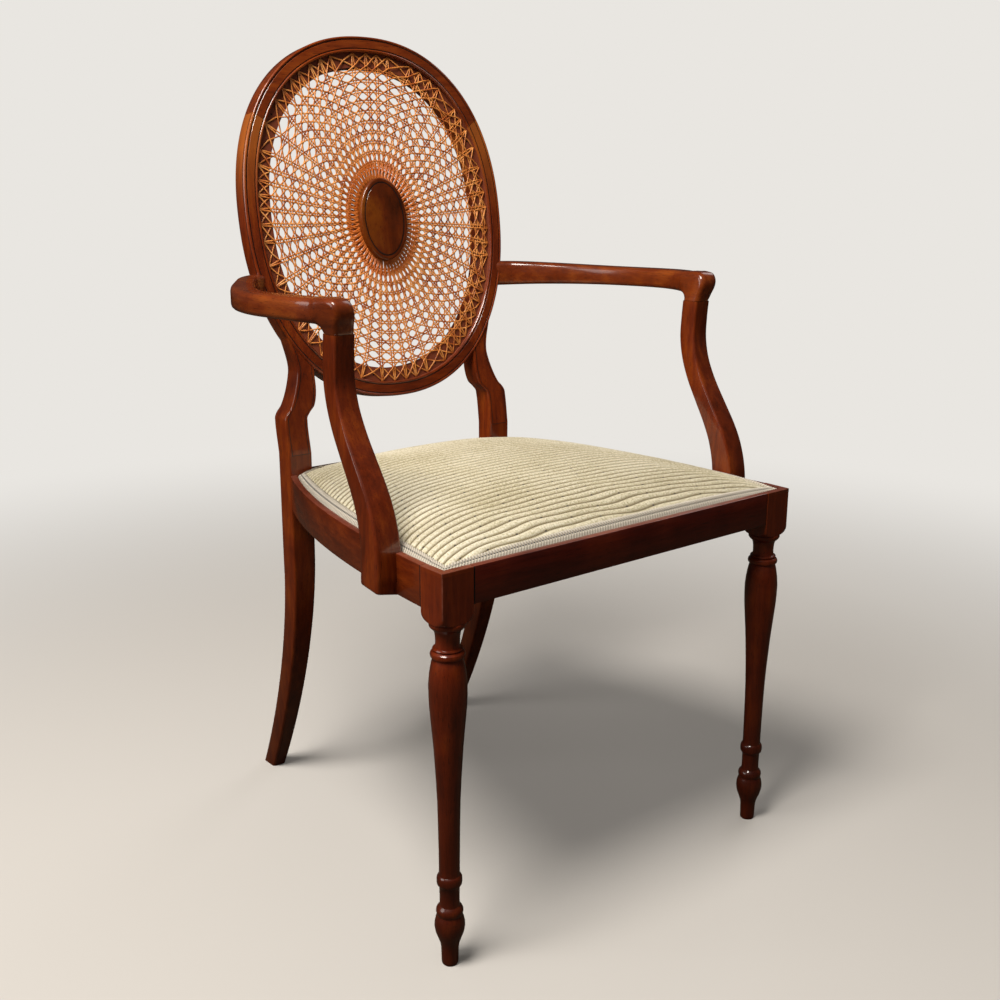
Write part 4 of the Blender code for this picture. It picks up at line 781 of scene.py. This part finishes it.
# Turn of the knuckle, from level to upright, and its depth there
KNUCKLE = ((0.0, 0.024), (0.22, 0.0271), (0.38, 0.0325), (0.5, 0.0367), (0.6, 0.037), (0.7, 0.0341),
           (0.84, 0.0273), (1.0, 0.023))
arm_wood = mahogany("polished_mahogany_arm", "Y", "#461704", "#6c2a0a", "#904612", 0.55)
root_height = ARM_TOP - 0.0155
edge = oval_edge(root_height)
root_y = SEAT_DEPTH + (root_height - LEAN_FROM) * math.tan(RAKE) + 0.01125
rows = [(forward, edge - 0.004 if forward == 0 else edge + (ARM_X - edge) * out, width, deep)
        for forward, out, width, deep in ARM_PLAN]
rows.append(((root_y - KNUCKLE_Y) / (root_y - JOINT_Y), SUPPORT_X + KNUCKLE_OUT, KNUCKLE_WIDTH, 0.024))
rows = flow(rows, 6)
for side, word in SIDES:
    sections = []
    for i, (forward, x, width, deep) in enumerate(rows):
        before, after = rows[max(i - 1, 0)], rows[min(i + 1, len(rows) - 1)]
        ahead = Vector((after[1] - before[1], (after[0] - before[0]) * (JOINT_Y - root_y))).normalized()
        y = root_y + (JOINT_Y - root_y) * forward
        dip = ARM_DIP * math.sin(math.pi * min(forward / 0.93, 1.0)) ** 2
        sections.append([(side * (x - ahead.y * across), y + ahead.x * across, ARM_TOP - dip - deep / 2 + up)
                         for across, up in eased_section(width, deep, 0.0052, 0.006)])
    for turn, deep in flow(KNUCKLE)[1:]:
        angle = turn * math.pi / 2
        outward = Vector((-math.sin(angle), math.cos(angle)))
        middle = Vector((KNUCKLE_Y, JOINT_Z)) + outward * (KNUCKLE_RADIUS + deep / 2)
        ring = []
        for across, up in eased_section(KNUCKLE_WIDTH - 0.003 * turn, deep, 0.0055, 0.006):
            spot = middle + outward * up
            ring.append((side * (SUPPORT_X + KNUCKLE_OUT * (1 - turn) + across), spot.x + ahead.x * (1 - turn) * across,
                         spot.y))
        sections.append(ring)
    arm = bmesh.new()
    sweep(arm, sections)
    settle(f"shaped_arm_{word}", arm, [arm_wood], [f"arm_{word}"], 50)

# Arm supports: swept mahogany uprights, lapped over the outside of the side rails and screwed from within,
# dowelled up into the knuckles.

SUPPORT_FOOT = 0.37
SUPPORT_WIDTH, SUPPORT_REACH = 0.0315, 0.064
# Height from the foot to the joint, place forward of the joint, width
SUPPORT_SWEEP = ((0.0, 0.975, 0.9), (0.004, 0.975, 0.935), (0.03, 0.98, 0.95), (0.09, 0.995, 0.955),
                 (0.22, 0.97, 0.92), (0.33, 0.86, 0.9), (0.42, 0.695, 0.88), (0.52, 0.455, 0.84),
                 (0.62, 0.22, 0.8), (0.72, 0.05, 0.76), (0.82, -0.03, 0.74), (0.92, -0.025, 0.73),
                 (1.0, 0.0, 0.73))
# The foot is cut at a slant: its outer side is 6 mm higher than its inner side, and its back 4 mm than its front.
SLANT_OUT, SLANT_BACK = 0.0062, 0.0044
support_wood = mahogany("polished_mahogany_support", "Z", "#3e1202", "#642205", "#8a3c09", 0.6)
for side, word in SIDES:
    support = bmesh.new()
    sections = []
    for rise, forward, wide in flow(SUPPORT_SWEEP, 5):
        z = SUPPORT_FOOT + (JOINT_Z - 0.0004 - SUPPORT_FOOT) * rise
        y = JOINT_Y - SUPPORT_REACH * forward
        cut = max(1 - rise / 0.22, 0.0)
        section = []
        for x, along in eased_section(SUPPORT_WIDTH * wide, SUPPORT_WIDTH * wide, 0.0036 * wide, 0.0036 * wide):
            slant = SLANT_OUT * (0.5 + side * x / SUPPORT_WIDTH) + SLANT_BACK * (0.5 + along / SUPPORT_WIDTH)
            section.append((side * SUPPORT_X + x, y + along, z + 0.0016 * cut + cut * slant))
        sections.append(section)
    sweep(support, sections)
    settle(f"arm_support_swept_{word}", support, [support_wood], [f"arm_support_{word}"], 50)

# Webbing: six jute straps, strained front to back and side to side over the rebate of the rails, interlaced
# where they cross, and each turned over at its ends and tacked.

# Depth, way out and slope of the side rail, at even steps along it
SIDE_STEPS = 200
SIDE_TABLE = [(*reversed(side_curve(k / SIDE_STEPS)), side_slope(k / SIDE_STEPS)) for k in range(SIDE_STEPS + 1)]


def side_edge(y, margin):
    """How far out the seat lies at a depth y, a margin in from the face of the side rail."""
    k = min(max(bisect.bisect(SIDE_TABLE, (y,)) - 1, 0), SIDE_STEPS - 1)
    (y0, x0, slope0), (y1, x1, slope1) = SIDE_TABLE[k], SIDE_TABLE[k + 1]
    part = min(max((y - y0) / (y1 - y0), 0.0), 1.0)
    return x0 + (x1 - x0) * part - margin * (slope0 + (slope1 - slope0) * part)


def woven(name, dark, mid, light, pitch):
    """Plain woven cloth seen from close by: threads over and under, uneven in tone, with a hairy matt surface."""
    material, add = new_shader(name)
    place = add("TexCoord").outputs["Object"]
    slubs = add("TexNoise", place, Scale=120.0, Detail=3.0)
    weave = add("TexBrick", place, (1.0, 1.0, 1.0, 1.0), (0.55, 0.55, 0.55, 1.0), (0.0, 0.0, 0.0, 1.0), Scale=1.0,
                Mortar_Size=pitch * 0.12, Mortar_Smooth=1.0, Brick_Width=2 * pitch, Row_Height=pitch)
    height = add("Mix", 0.35, weave.outputs["Fac"], slubs)
    tones = add("ValToRGB", height, stops=((0.1, light), (0.32, mid), (0.8, dark)))
    relief = add("Bump", Height=height, Strength=0.6, Distance=pitch * 0.25, invert=True)
    add("OutputMaterial", add("BsdfPrincipled", Base_Color=tones, Roughness=0.92, IOR=1.46, Normal=relief,
                              Sheen_Weight=0.15))
    return material


# Real jute webbing has about five threads to the centimetre each way, and is drawn so.
jute_web = woven("jute_webbing", "#4f3a22", "#8e7046", "#b4955f", 0.0021)
ACROSS_Y = tuple(RAIL_START + (RAIL_END - RAIL_START) * share for share in (0.22, 0.48, 0.74))
ALONG_X = (-0.0863, 0.0, 0.0863)
WEB_LEVEL, WEB_THICK, WEB_INSET, FLAT_END = 0.4119, 0.0012, 0.0148, 0.022
TURNED_END, TURNED_LEVEL = 0.019, 0.4132
# The woven edges of a strap are a little thinner than its middle: place across it, and share of its thickness.
WEB_EDGES = ((-0.025, 0.3), (-0.0235, 0.5), (0.0, 0.55), (0.0235, 0.5), (0.025, 0.3))
WEB_OUTLINE = [(w, t * WEB_THICK) for w, t in WEB_EDGES] + [(w, -t * WEB_THICK) for w, t in reversed(WEB_EDGES)]
straps = [(f"across_{word}", "x", y, WEB_INSET - side_edge(y, 0.0), side_edge(y, 0.0) - WEB_INSET, ALONG_X, k)
          for k, (word, y) in enumerate(zip(("front", "middle", "rear"), ACROSS_Y))]
straps += [(f"along_{word}", "y", x, -0.003, SEAT_DEPTH + 0.0025, ACROSS_Y, k + 1)
           for k, (word, x) in enumerate(zip(("left", "middle", "right"), ALONG_X))]
for word, axis, place, start, end, crossings, first in straps:
    strap = bmesh.new()
    knots = [(start, WEB_LEVEL), (start + FLAT_END, WEB_LEVEL)]
    knots += [(at, WEB_LEVEL + (0.001 if (first + k) % 2 else -0.0008)) for k, at in enumerate(crossings)]
    knots += [(end - FLAT_END, WEB_LEVEL), (end, WEB_LEVEL)]
    run = [(a + (b - a) * t, low + (high - low) * t * t * (3 - 2 * t))
           for (a, low), (b, high) in zip(knots, knots[1:]) for t in (i / 6 for i in range(6))]
    ends = [[(a + TURNED_END * i / 4, TURNED_LEVEL) for i in range(5)] for a in (start, end - TURNED_END)]
    for stations in [run + [knots[-1]]] + ends:
        sweep(strap, [[(s, place + w, z + t) if axis == "x" else (place + w, s, z + t) for w, t in WEB_OUTLINE]
                      for s, z in stations])
    web = settle(f"jute_webbing_{word}", strap, [jute_web], [f"webbing_{word}"])

# Hessian and stuffing: a sheet of loose jute cloth strained over the webbing, and on it the pad of curled hair
# and cotton felt, domed in the middle and worked thin at the edges.

COVER_MARGIN, COVER_EDGE, COVER_RISE = 0.0092, 0.4121, 0.0338
HESSIAN_MARGIN, PAD_MARGIN = 0.0128, 0.0185
# How far behind the fronts of the rear posts the seat would reach with no margin, and where its notches start
REAR_REACH, NOTCH = 0.0165, 0.0072


def seat_half_width(y, margin):
    """Half the seat's width at a depth y, with the notches that let the rear posts through."""
    inset = margin - LIP
    if y > SEAT_DEPTH - GAP - inset:
        return POST_OUTER - POST_WIDTH - GAP - inset
    if y < RAIL_START:
        return LEG_X + HALF_BLOCK - margin
    return side_edge(y, margin)


def seat_ends(margin):
    """How far the seat reaches to the front and to the rear, and where the notches start."""
    return margin - HALF_DEPTH, SEAT_DEPTH + REAR_REACH - margin, SEAT_DEPTH + NOTCH - margin


SEAT_FRONT, SEAT_REAR, _ = seat_ends(COVER_MARGIN)


def seat_height(x, y, power=2.7, roll=0.53):
    """Height of the stuffed seat: a broad dome that rolls over steeply at its edges."""
    sx = min(abs(x) / side_edge(y, COVER_MARGIN), 1.0)
    sy = min(abs(2 * y - SEAT_FRONT - SEAT_REAR) / (SEAT_REAR - SEAT_FRONT), 1.0)
    return COVER_EDGE + COVER_RISE * ((1 - sx**power) * (1 - sy**power)) ** roll


def seat_grid(bm, margin, columns, rows):
    """A grid fitted to the seat's outline, closer towards its sides, with a row at each side of the notch."""
    front, rear, notch = seat_ends(margin)
    depths = [front + (notch - 0.0001 - front) * k / (rows - 8) for k in range(rows - 7)]
    depths += [notch + 0.0001 + (rear - notch - 0.0001) * k / 7 for k in range(8)]
    for vert in bmesh.ops.create_grid(bm, x_segments=columns, y_segments=rows, size=1.0)["verts"]:
        y = depths[round((vert.co.y + 1) / 2 * rows)]
        # The columns lie even in the middle and close up towards the sides.
        u = 0.5 * vert.co.x + 0.5 * math.sin(vert.co.x * math.pi / 2)
        vert.co = (u * seat_half_width(y, margin), y, 0.0)


def turn_down(bm, height, close=False):
    """Draw the border of a sheet down to a height, and close it underneath if asked to."""
    border = [edge for edge in bm.edges if edge.is_boundary]
    for item in bmesh.ops.extrude_edge_only(bm, edges=border)["geom"]:
        if isinstance(item, bmesh.types.BMVert):
            item.co.z = min(height, item.co.z - 0.0004)
    if close:
        bmesh.ops.edgeloop_fill(bm, edges=[edge for edge in bm.edges if edge.is_boundary])


cloth = bmesh.new()
seat_grid(cloth, HESSIAN_MARGIN, 40, 48)
for vert in cloth.verts:
    strained = 0.4152 + 0.0003 * math.sin(vert.co.x * 50) * math.cos(vert.co.y * 41)
    vert.co.z = min(strained, seat_height(vert.co.x, vert.co.y) - 0.0016)
hessian_cloth = woven("hessian", "#3f2e1a", "#8a6d46", "#b99a68", 0.0016)
hessian = settle("hessian_over_webbing", cloth, [hessian_cloth], ["hessian"])
thicken(hessian, 0.0006, 0.0)

# A dull tangle of brown hair and pale cotton.
felt, add = new_shader("curled_hair_and_cotton_felt")
tufts = add("TexNoise", add("TexCoord").outputs["Object"], Scale=60.0, Detail=8.0, Roughness=0.7, Distortion=1.4)
tones = add("ValToRGB", tufts, stops=((0.38, "#3c2c1c"), (0.62, "#cdbfa4")))
relief = add("Bump", Height=tufts, Strength=0.8, Distance=0.002)
add("OutputMaterial", add("BsdfPrincipled", Base_Color=tones, Roughness=0.95, Normal=relief, Sheen_Weight=0.3))
pad = bmesh.new()
seat_grid(pad, PAD_MARGIN, 44, 52)
for vert in pad.verts:
    lumps = 0.0006 * math.sin(vert.co.x * 95 + 2 * math.sin(vert.co.y * 60)) * math.sin(vert.co.y * 88)
    top = seat_height(vert.co.x, vert.co.y)
    vert.co.z = min(max(top - 0.0066 + lumps, 0.4164), top - 0.0022)
turn_down(pad, 0.4158, True)
stuffing = settle("hair_and_felt_pad", pad, [felt], ["seat_stuffing"])

# Seat cover: pale green gold corded cloth. Its padded ribs run side to side, 9.75 mm apart, with a stitch of the
# weave in each groove, and they pull forward where the cloth is strained over the sides and tacked.

RIB = 0.00975
# Place from front to back, and the length of cloth from the front edge to it over the rolled edge and the dome
LINE_STEPS = 400
CLOTH_LINE = [(SEAT_FRONT, 0.0)]
for k in range(1, LINE_STEPS + 1):
    y, (y0, run) = SEAT_FRONT + (SEAT_REAR - SEAT_FRONT) * k / LINE_STEPS, CLOTH_LINE[-1]
    CLOTH_LINE.append((y, run + math.hypot(y - y0, seat_height(0.0, y) - seat_height(0.0, y0))))


def rib_place(x, y):
    """Which rib a point lies on: they sweep forward at the sides and wander a little, more so near the front."""
    sx = min(abs(x) / side_edge(y, COVER_MARGIN), 1.0)
    loose = 1.0 + 1.1 * max(0.0, 1 - y / 0.09)
    wander = loose * (0.0008 * math.sin(41 * x + 7 * math.sin(13 * y)) + 0.0005 * math.sin(83 * x + 60 * y))
    share = (y + 0.023 * sx**6 + wander * (1 - sx**4) - SEAT_FRONT) / (SEAT_REAR - SEAT_FRONT) * LINE_STEPS
    k = min(max(int(share), 0), LINE_STEPS - 1)
    return (CLOTH_LINE[k][1] + (share - k) * (CLOTH_LINE[k + 1][1] - CLOTH_LINE[k][1])) / RIB


# Soft matt cotton: pale ribs, painted shade in the grooves between them, a faint twill, and rows of small stitches.
corded, add = new_shader("corded_cotton_cloth")
flat = add("UVMap", uv_map="cloth")
place = add("SeparateXYZ", flat).outputs
row = place["Y"]
swell = add("Math", row, 0.5, operation="PINGPONG")
tight = add("MapRange", swell, 0.0, 0.3, interpolation_type="SMOOTHSTEP")
slubs = add("Mapping", flat, Scale=(420.0, 5.0, 1.0))
threads = add("TexNoise", slubs, Scale=1.0, Detail=3.0, Roughness=0.6)
fading = add("TexNoise", add("TexCoord").outputs["Object"], Scale=9.0, Detail=3.0)
uneven = add("Mix", 0.3, threads, fading)
tones = add("ValToRGB", uneven, stops=((0.37, "#a89d76"), (0.5, "#d9d0b2"), (0.62, "#eee8d4")))
# Painted shade darkens the grooves between the ribs.
painted_groove_shade = add("Mix", tight, "#7d704c", tones, data_type="RGBA")
# A twill of 0.5 mm threads covers the ribs in the real cloth. Here it is drawn at 1.3 mm.
slanted = add("Mapping", flat, Scale=(480.0, 3.3, 0.0))
twill = add("TexWave", slanted, Scale=1.0, bands_direction="DIAGONAL").outputs["Fac"]
lit = add("Math", twill, 0.24, operation="MULTIPLY")
ribbed = add("Mix", lit, painted_groove_shade, "#84784f", data_type="RGBA")
# In each groove runs a row of dark stitches. They are 1.9 mm apart in the real cloth and drawn at 2.4 mm.
spaced = add("Mapping", flat, Scale=(262.0, 0.6, 0.0))
needle = add("TexWave", spaced, Scale=1.0, bands_direction="DIAGONAL").outputs["Fac"]
gaps = add("Math", needle, 0.55, operation="GREATER_THAN")
deep = add("Math", swell, 0.085, operation="LESS_THAN")
stitch = add("Math", gaps, deep, operation="MULTIPLY")
faint = add("Math", stitch, 0.75, operation="MULTIPLY")
stitched = add("Mix", faint, ribbed, "#4e4126", data_type="RGBA")
# Every 75 mm along a groove one stitch is pulled down hard.
groove = add("Math", row, operation="ROUND")
from_groove = add("Math", row, groove, operation="SUBTRACT")
near_groove = add("Math", from_groove, 0.03, 0.1, operation="COMPARE")
spacing = add("Math", place["X"], 0.075, operation="DIVIDE")
along = add("Math", groove, 0.43, spacing, operation="MULTIPLY_ADD")
turn = add("Math", along, operation="FRACT")
there = add("Math", turn, 0.5, 0.017, operation="COMPARE")
dot = add("Math", near_groove, there, operation="MULTIPLY")
dotted = add("Mix", dot, stitched, "#3c3120", data_type="RGBA")
weave = add("Math", twill, threads, operation="ADD")
fine = add("Math", weave, 0.18, swell, operation="MULTIPLY_ADD")
profile = add("Math", dot, -0.6, fine, operation="MULTIPLY_ADD")
relief = add("Bump", Height=profile, Strength=0.6, Distance=0.0012)
add("OutputMaterial", add("BsdfPrincipled", Base_Color=dotted, Roughness=0.88, IOR=1.46, Normal=relief,
                          Sheen_Weight=0.25, Sheen_Roughness=0.5))


def settled_cloth(bag_margin=0.0135, bag_foot=0.416, tacked_below=0.42):
    """The cover as it settles: a closed bag, held round its edge and filled by pressure. Its surface as a tree."""
    bag = bmesh.new()
    seat_grid(bag, bag_margin, 44, 52)
    for vert in bag.verts:
        vert.co.z = bag_foot + 0.95 * max(seat_height(vert.co.x, vert.co.y) - bag_foot, 0.0)
    turn_down(bag, 0.4125, True)
    bmesh.ops.recalc_face_normals(bag, faces=bag.faces)
    mesh = bpy.data.meshes.new("cloth_bag")
    bag.to_mesh(mesh)
    bag.free()
    cloth = bpy.data.objects.new("cloth_bag", mesh)
    scene.collection.objects.link(cloth)
    remesh = cloth.modifiers.new("even_mesh", "REMESH")
    remesh.mode, remesh.voxel_size = "VOXEL", 0.005
    even = bpy.data.meshes.new_from_object(cloth.evaluated_get(bpy.context.evaluated_depsgraph_get()))
    cloth.modifiers.clear()
    cloth.data = even
    tacked = cloth.vertex_groups.new(name="tacked")
    tacked.add([v.index for v in even.vertices if v.co.z < tacked_below], 1.0, "REPLACE")
    pressure = cloth.modifiers.new("pressure", "CLOTH").settings
    pressure.quality = 6
    pressure.use_pressure = True
    pressure.uniform_pressure_force = 4.0
    pressure.vertex_group_mass = "tacked"
    pressure.effector_weights.gravity = 0.0
    for step in range(1, 21):
        scene.frame_set(step)
    tree = BVHTree.FromObject(cloth, bpy.context.evaluated_depsgraph_get())
    scene.frame_set(1)
    bpy.data.objects.remove(cloth)
    return tree


settled = settled_cloth()
cover = bmesh.new()
seat_grid(cover, COVER_MARGIN, 84, 408)
flat_cloth = cover.loops.layers.uv.new("cloth")
for vert in cover.verts:
    x, y, _ = vert.co
    z = seat_height(x, y)
    inside = max(min(side_edge(y, COVER_MARGIN) - abs(x), y - SEAT_FRONT, SEAT_REAR - y), 0.0)
    # From 12 mm in, the settled cloth lifts or lowers the dome by up to 4 mm.
    if settled:
        hit = settled.ray_cast(Vector((x, y, 0.5)), Vector((0, 0, -1)))[0]
        full = min(max((inside - 0.012) / 0.022, 0.0), 1.0)
        if hit:
            z += full * max(min(hit.z - z, 0.004), -0.0025)
    # The ribs rise where the border of flat cloth under the braid ends.
    rib = abs(math.sin(math.pi * rib_place(x, y)))
    edge = min(max((inside - 0.0065) / 0.006, 0.0), 1.0)
    border = 0.0012 * (1 - edge) * min(inside / 0.003, 1.0)
    vert.co.z = z - border + edge * (0.0022 * (rib * rib + 0.004) ** 0.46 - 0.0018)
for face in cover.faces:
    for loop in face.loops:
        loop[flat_cloth].uv = (loop.vert.co.x, rib_place(loop.vert.co.x, loop.vert.co.y))
turn_down(cover, 0.4113)
seat_cloth = settle("corded_seat_cover", cover, [corded], ["seat_cover"], 60)

# Gimp: a woven braid of off white cord, 11 mm wide, glued round the seat over the tacks and the raw edge of the
# cloth. Two rows of looped cord lie either side of a dark thread, and the loops make its edges wavy.

GIMP_LOOP, GIMP_MARGIN = 0.0036, 0.0079
# In from the outer edge, and how thick the braid is there: two round rows with a groove between them
GIMP_ROWS = ((0.0, 0.0006), (0.0008, 0.0014), (0.0022, 0.0019), (0.0036, 0.0014), (0.0044, 0.0006),
             (0.0052, 0.0014), (0.0066, 0.0019), (0.0079, 0.0014), (0.0087, 0.0005))


def seat_outline(margin):
    """The seat's outline at a margin, with the same number of places on each stretch at any margin."""
    front, rear, notch = seat_ends(margin)
    post = POST_OUTER - POST_WIDTH + NOTCH - margin
    right = [(seat_half_width(y, margin), y) for y in (front + (notch - front) * k / 330 for k in range(331))]
    wide, corner = right[-1][0], right[0][0]
    right += [(wide + (post - wide) * k / 15, notch) for k in range(1, 16)]
    right += [(post, notch + (rear - notch) * k / 8) for k in range(1, 9)]
    back = [(post - 2 * post * k / 216, rear) for k in range(1, 216)]
    left = [(-x, y) for x, y in reversed(right)]
    return right + back + left + [(-corner + 2 * corner * k / 390, front) for k in range(1, 390)]


# Matt twisted cord, off white with grey shadows between its turns, and a dark thread down the middle.
braid_cord, add = new_shader("off_white_gimp_cord")
flat = add("UVMap", uv_map="braid")
place = add("SeparateXYZ", flat).outputs
away = add("Math", place["Y"], 0.5, operation="SUBTRACT")
sides = add("Math", away, operation="ABSOLUTE")
# Each cord is twisted from threads of 0.4 mm. Here one thread is drawn for each loop of 3.6 mm.
lean = add("Math", sides, 9.0, operation="MULTIPLY")
turns = add("Math", place["X"], 2 * math.pi / GIMP_LOOP, lean, operation="MULTIPLY_ADD")
twist = add("Math", turns, operation="SINE")
fuzz = add("TexNoise", flat, Scale=900.0, Detail=3.0)
tone = add("Math", twist, 0.18, fuzz, operation="MULTIPLY_ADD")
tones = add("ValToRGB", tone, stops=((0.2, "#857c6c"), (0.48, "#b8af9e"), (0.78, "#ddd6c8")))
middle = add("Math", sides, 0.075, operation="LESS_THAN")
dashes = add("Math", twist, -0.1, operation="GREATER_THAN")
thread = add("Math", middle, dashes, operation="MULTIPLY")
coloured = add("Mix", thread, tones, "#4c4a48", data_type="RGBA")
relief = add("Bump", Height=tone, Strength=0.6, Distance=0.0005)
add("OutputMaterial", add("BsdfPrincipled", Base_Color=coloured, Roughness=0.8, IOR=1.46, Normal=relief,
                          Sheen_Weight=0.2))

lines = [seat_outline(GIMP_MARGIN + into) for into, _ in GIMP_ROWS]
outer, inner = lines[0], lines[-1]
stations = len(outer)
travel, sections, lengths = 0.0, [], []
for k in range(stations):
    wave = math.cos(2 * math.pi * travel / GIMP_LOOP)
    section = []
    for n, (into, thick) in enumerate(GIMP_ROWS):
        bulge = 0.085 * wave * (1 if n == 0 else -1 if n == len(GIMP_ROWS) - 1 else 0)
        x, y = (at - (far - near) * bulge for at, far, near in zip(lines[n][k], inner[k], outer[k]))
        under = max(seat_height(x, y), 0.4117) if into > 0.001 else 0.4114
        section.append((x, y, under + thick * (1 + 0.3 * wave) - 0.0001))
    section += [(x, y, max(min(z - 0.0012, seat_height(x, y) - 0.0006), 0.4112)) for x, y, z in reversed(section)]
    sections.append(section)
    lengths.append(travel)
    travel += math.dist(outer[k], outer[(k + 1) % stations])
gimp = bmesh.new()
sweep(gimp, sections + [sections[0]], closed=True)
run = gimp.loops.layers.uv.new("braid")
order = gimp.verts.layers.int["mark"]
gimp.verts.index_update()
per = len(sections[0])
for face in gimp.faces:
    for loop in face.loops:
        mark, at = loop.vert[order], loop.vert.index // per
        n = mark if mark < len(GIMP_ROWS) else per - 1 - mark
        loop[run].uv = (lengths[at] if at < stations else travel, GIMP_ROWS[n][0] / GIMP_ROWS[-1][0])
settle("gimp_round_seat", gimp, [braid_cord], ["gimp_braid"], 60)

# Corner blocks, dowels and screws: beech braces glued and screwed into the corners of the seat frame, beech
# dowels in the joints, and brass wood screws. They keep the shapes of the frame and take finished looks.

# Bare pale wood with short darker flecks.
beech, add = new_shader("unpolished_beech")
stretch = add("Mapping", add("TexCoord").outputs["Object"], Scale=(60.0, 60.0, 260.0))
flecks = add("TexNoise", stretch, Scale=2.0, Detail=4.0)
tones = add("ValToRGB", flecks, stops=((0.32, "#8a5f36"), (0.66, "#c79a66")))
relief = add("Bump", Height=flecks, Strength=0.2, Distance=0.0003)
add("OutputMaterial", add("BsdfPrincipled", Base_Color=tones, Roughness=0.7, IOR=1.5, Normal=relief))

# Old yellow metal, dull and brown where it has tarnished.
brass, add = new_shader("dulled_brass")
tarnish = add("TexNoise", add("TexCoord").outputs["Object"], Scale=380.0, Detail=4.0)
tones = add("ValToRGB", tarnish, stops=((0.35, "#6b5026"), (0.65, "#c09a52")))
dull = add("MapRange", tarnish, 0.0, 1.0, 0.55, 0.25)
add("OutputMaterial", add("BsdfPrincipled", Base_Color=tones, Metallic=1.0, Roughness=dull))

for name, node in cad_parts.items():
    for word, finish in (("corner_block", beech), ("dowel", beech), ("screw", brass)):
        if word in name:
            for entry in node.material_slots:
                entry.material = finish

size = {"cad": [list(corner) for corner in cad_box], "visual": [list(corner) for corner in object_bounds()]}
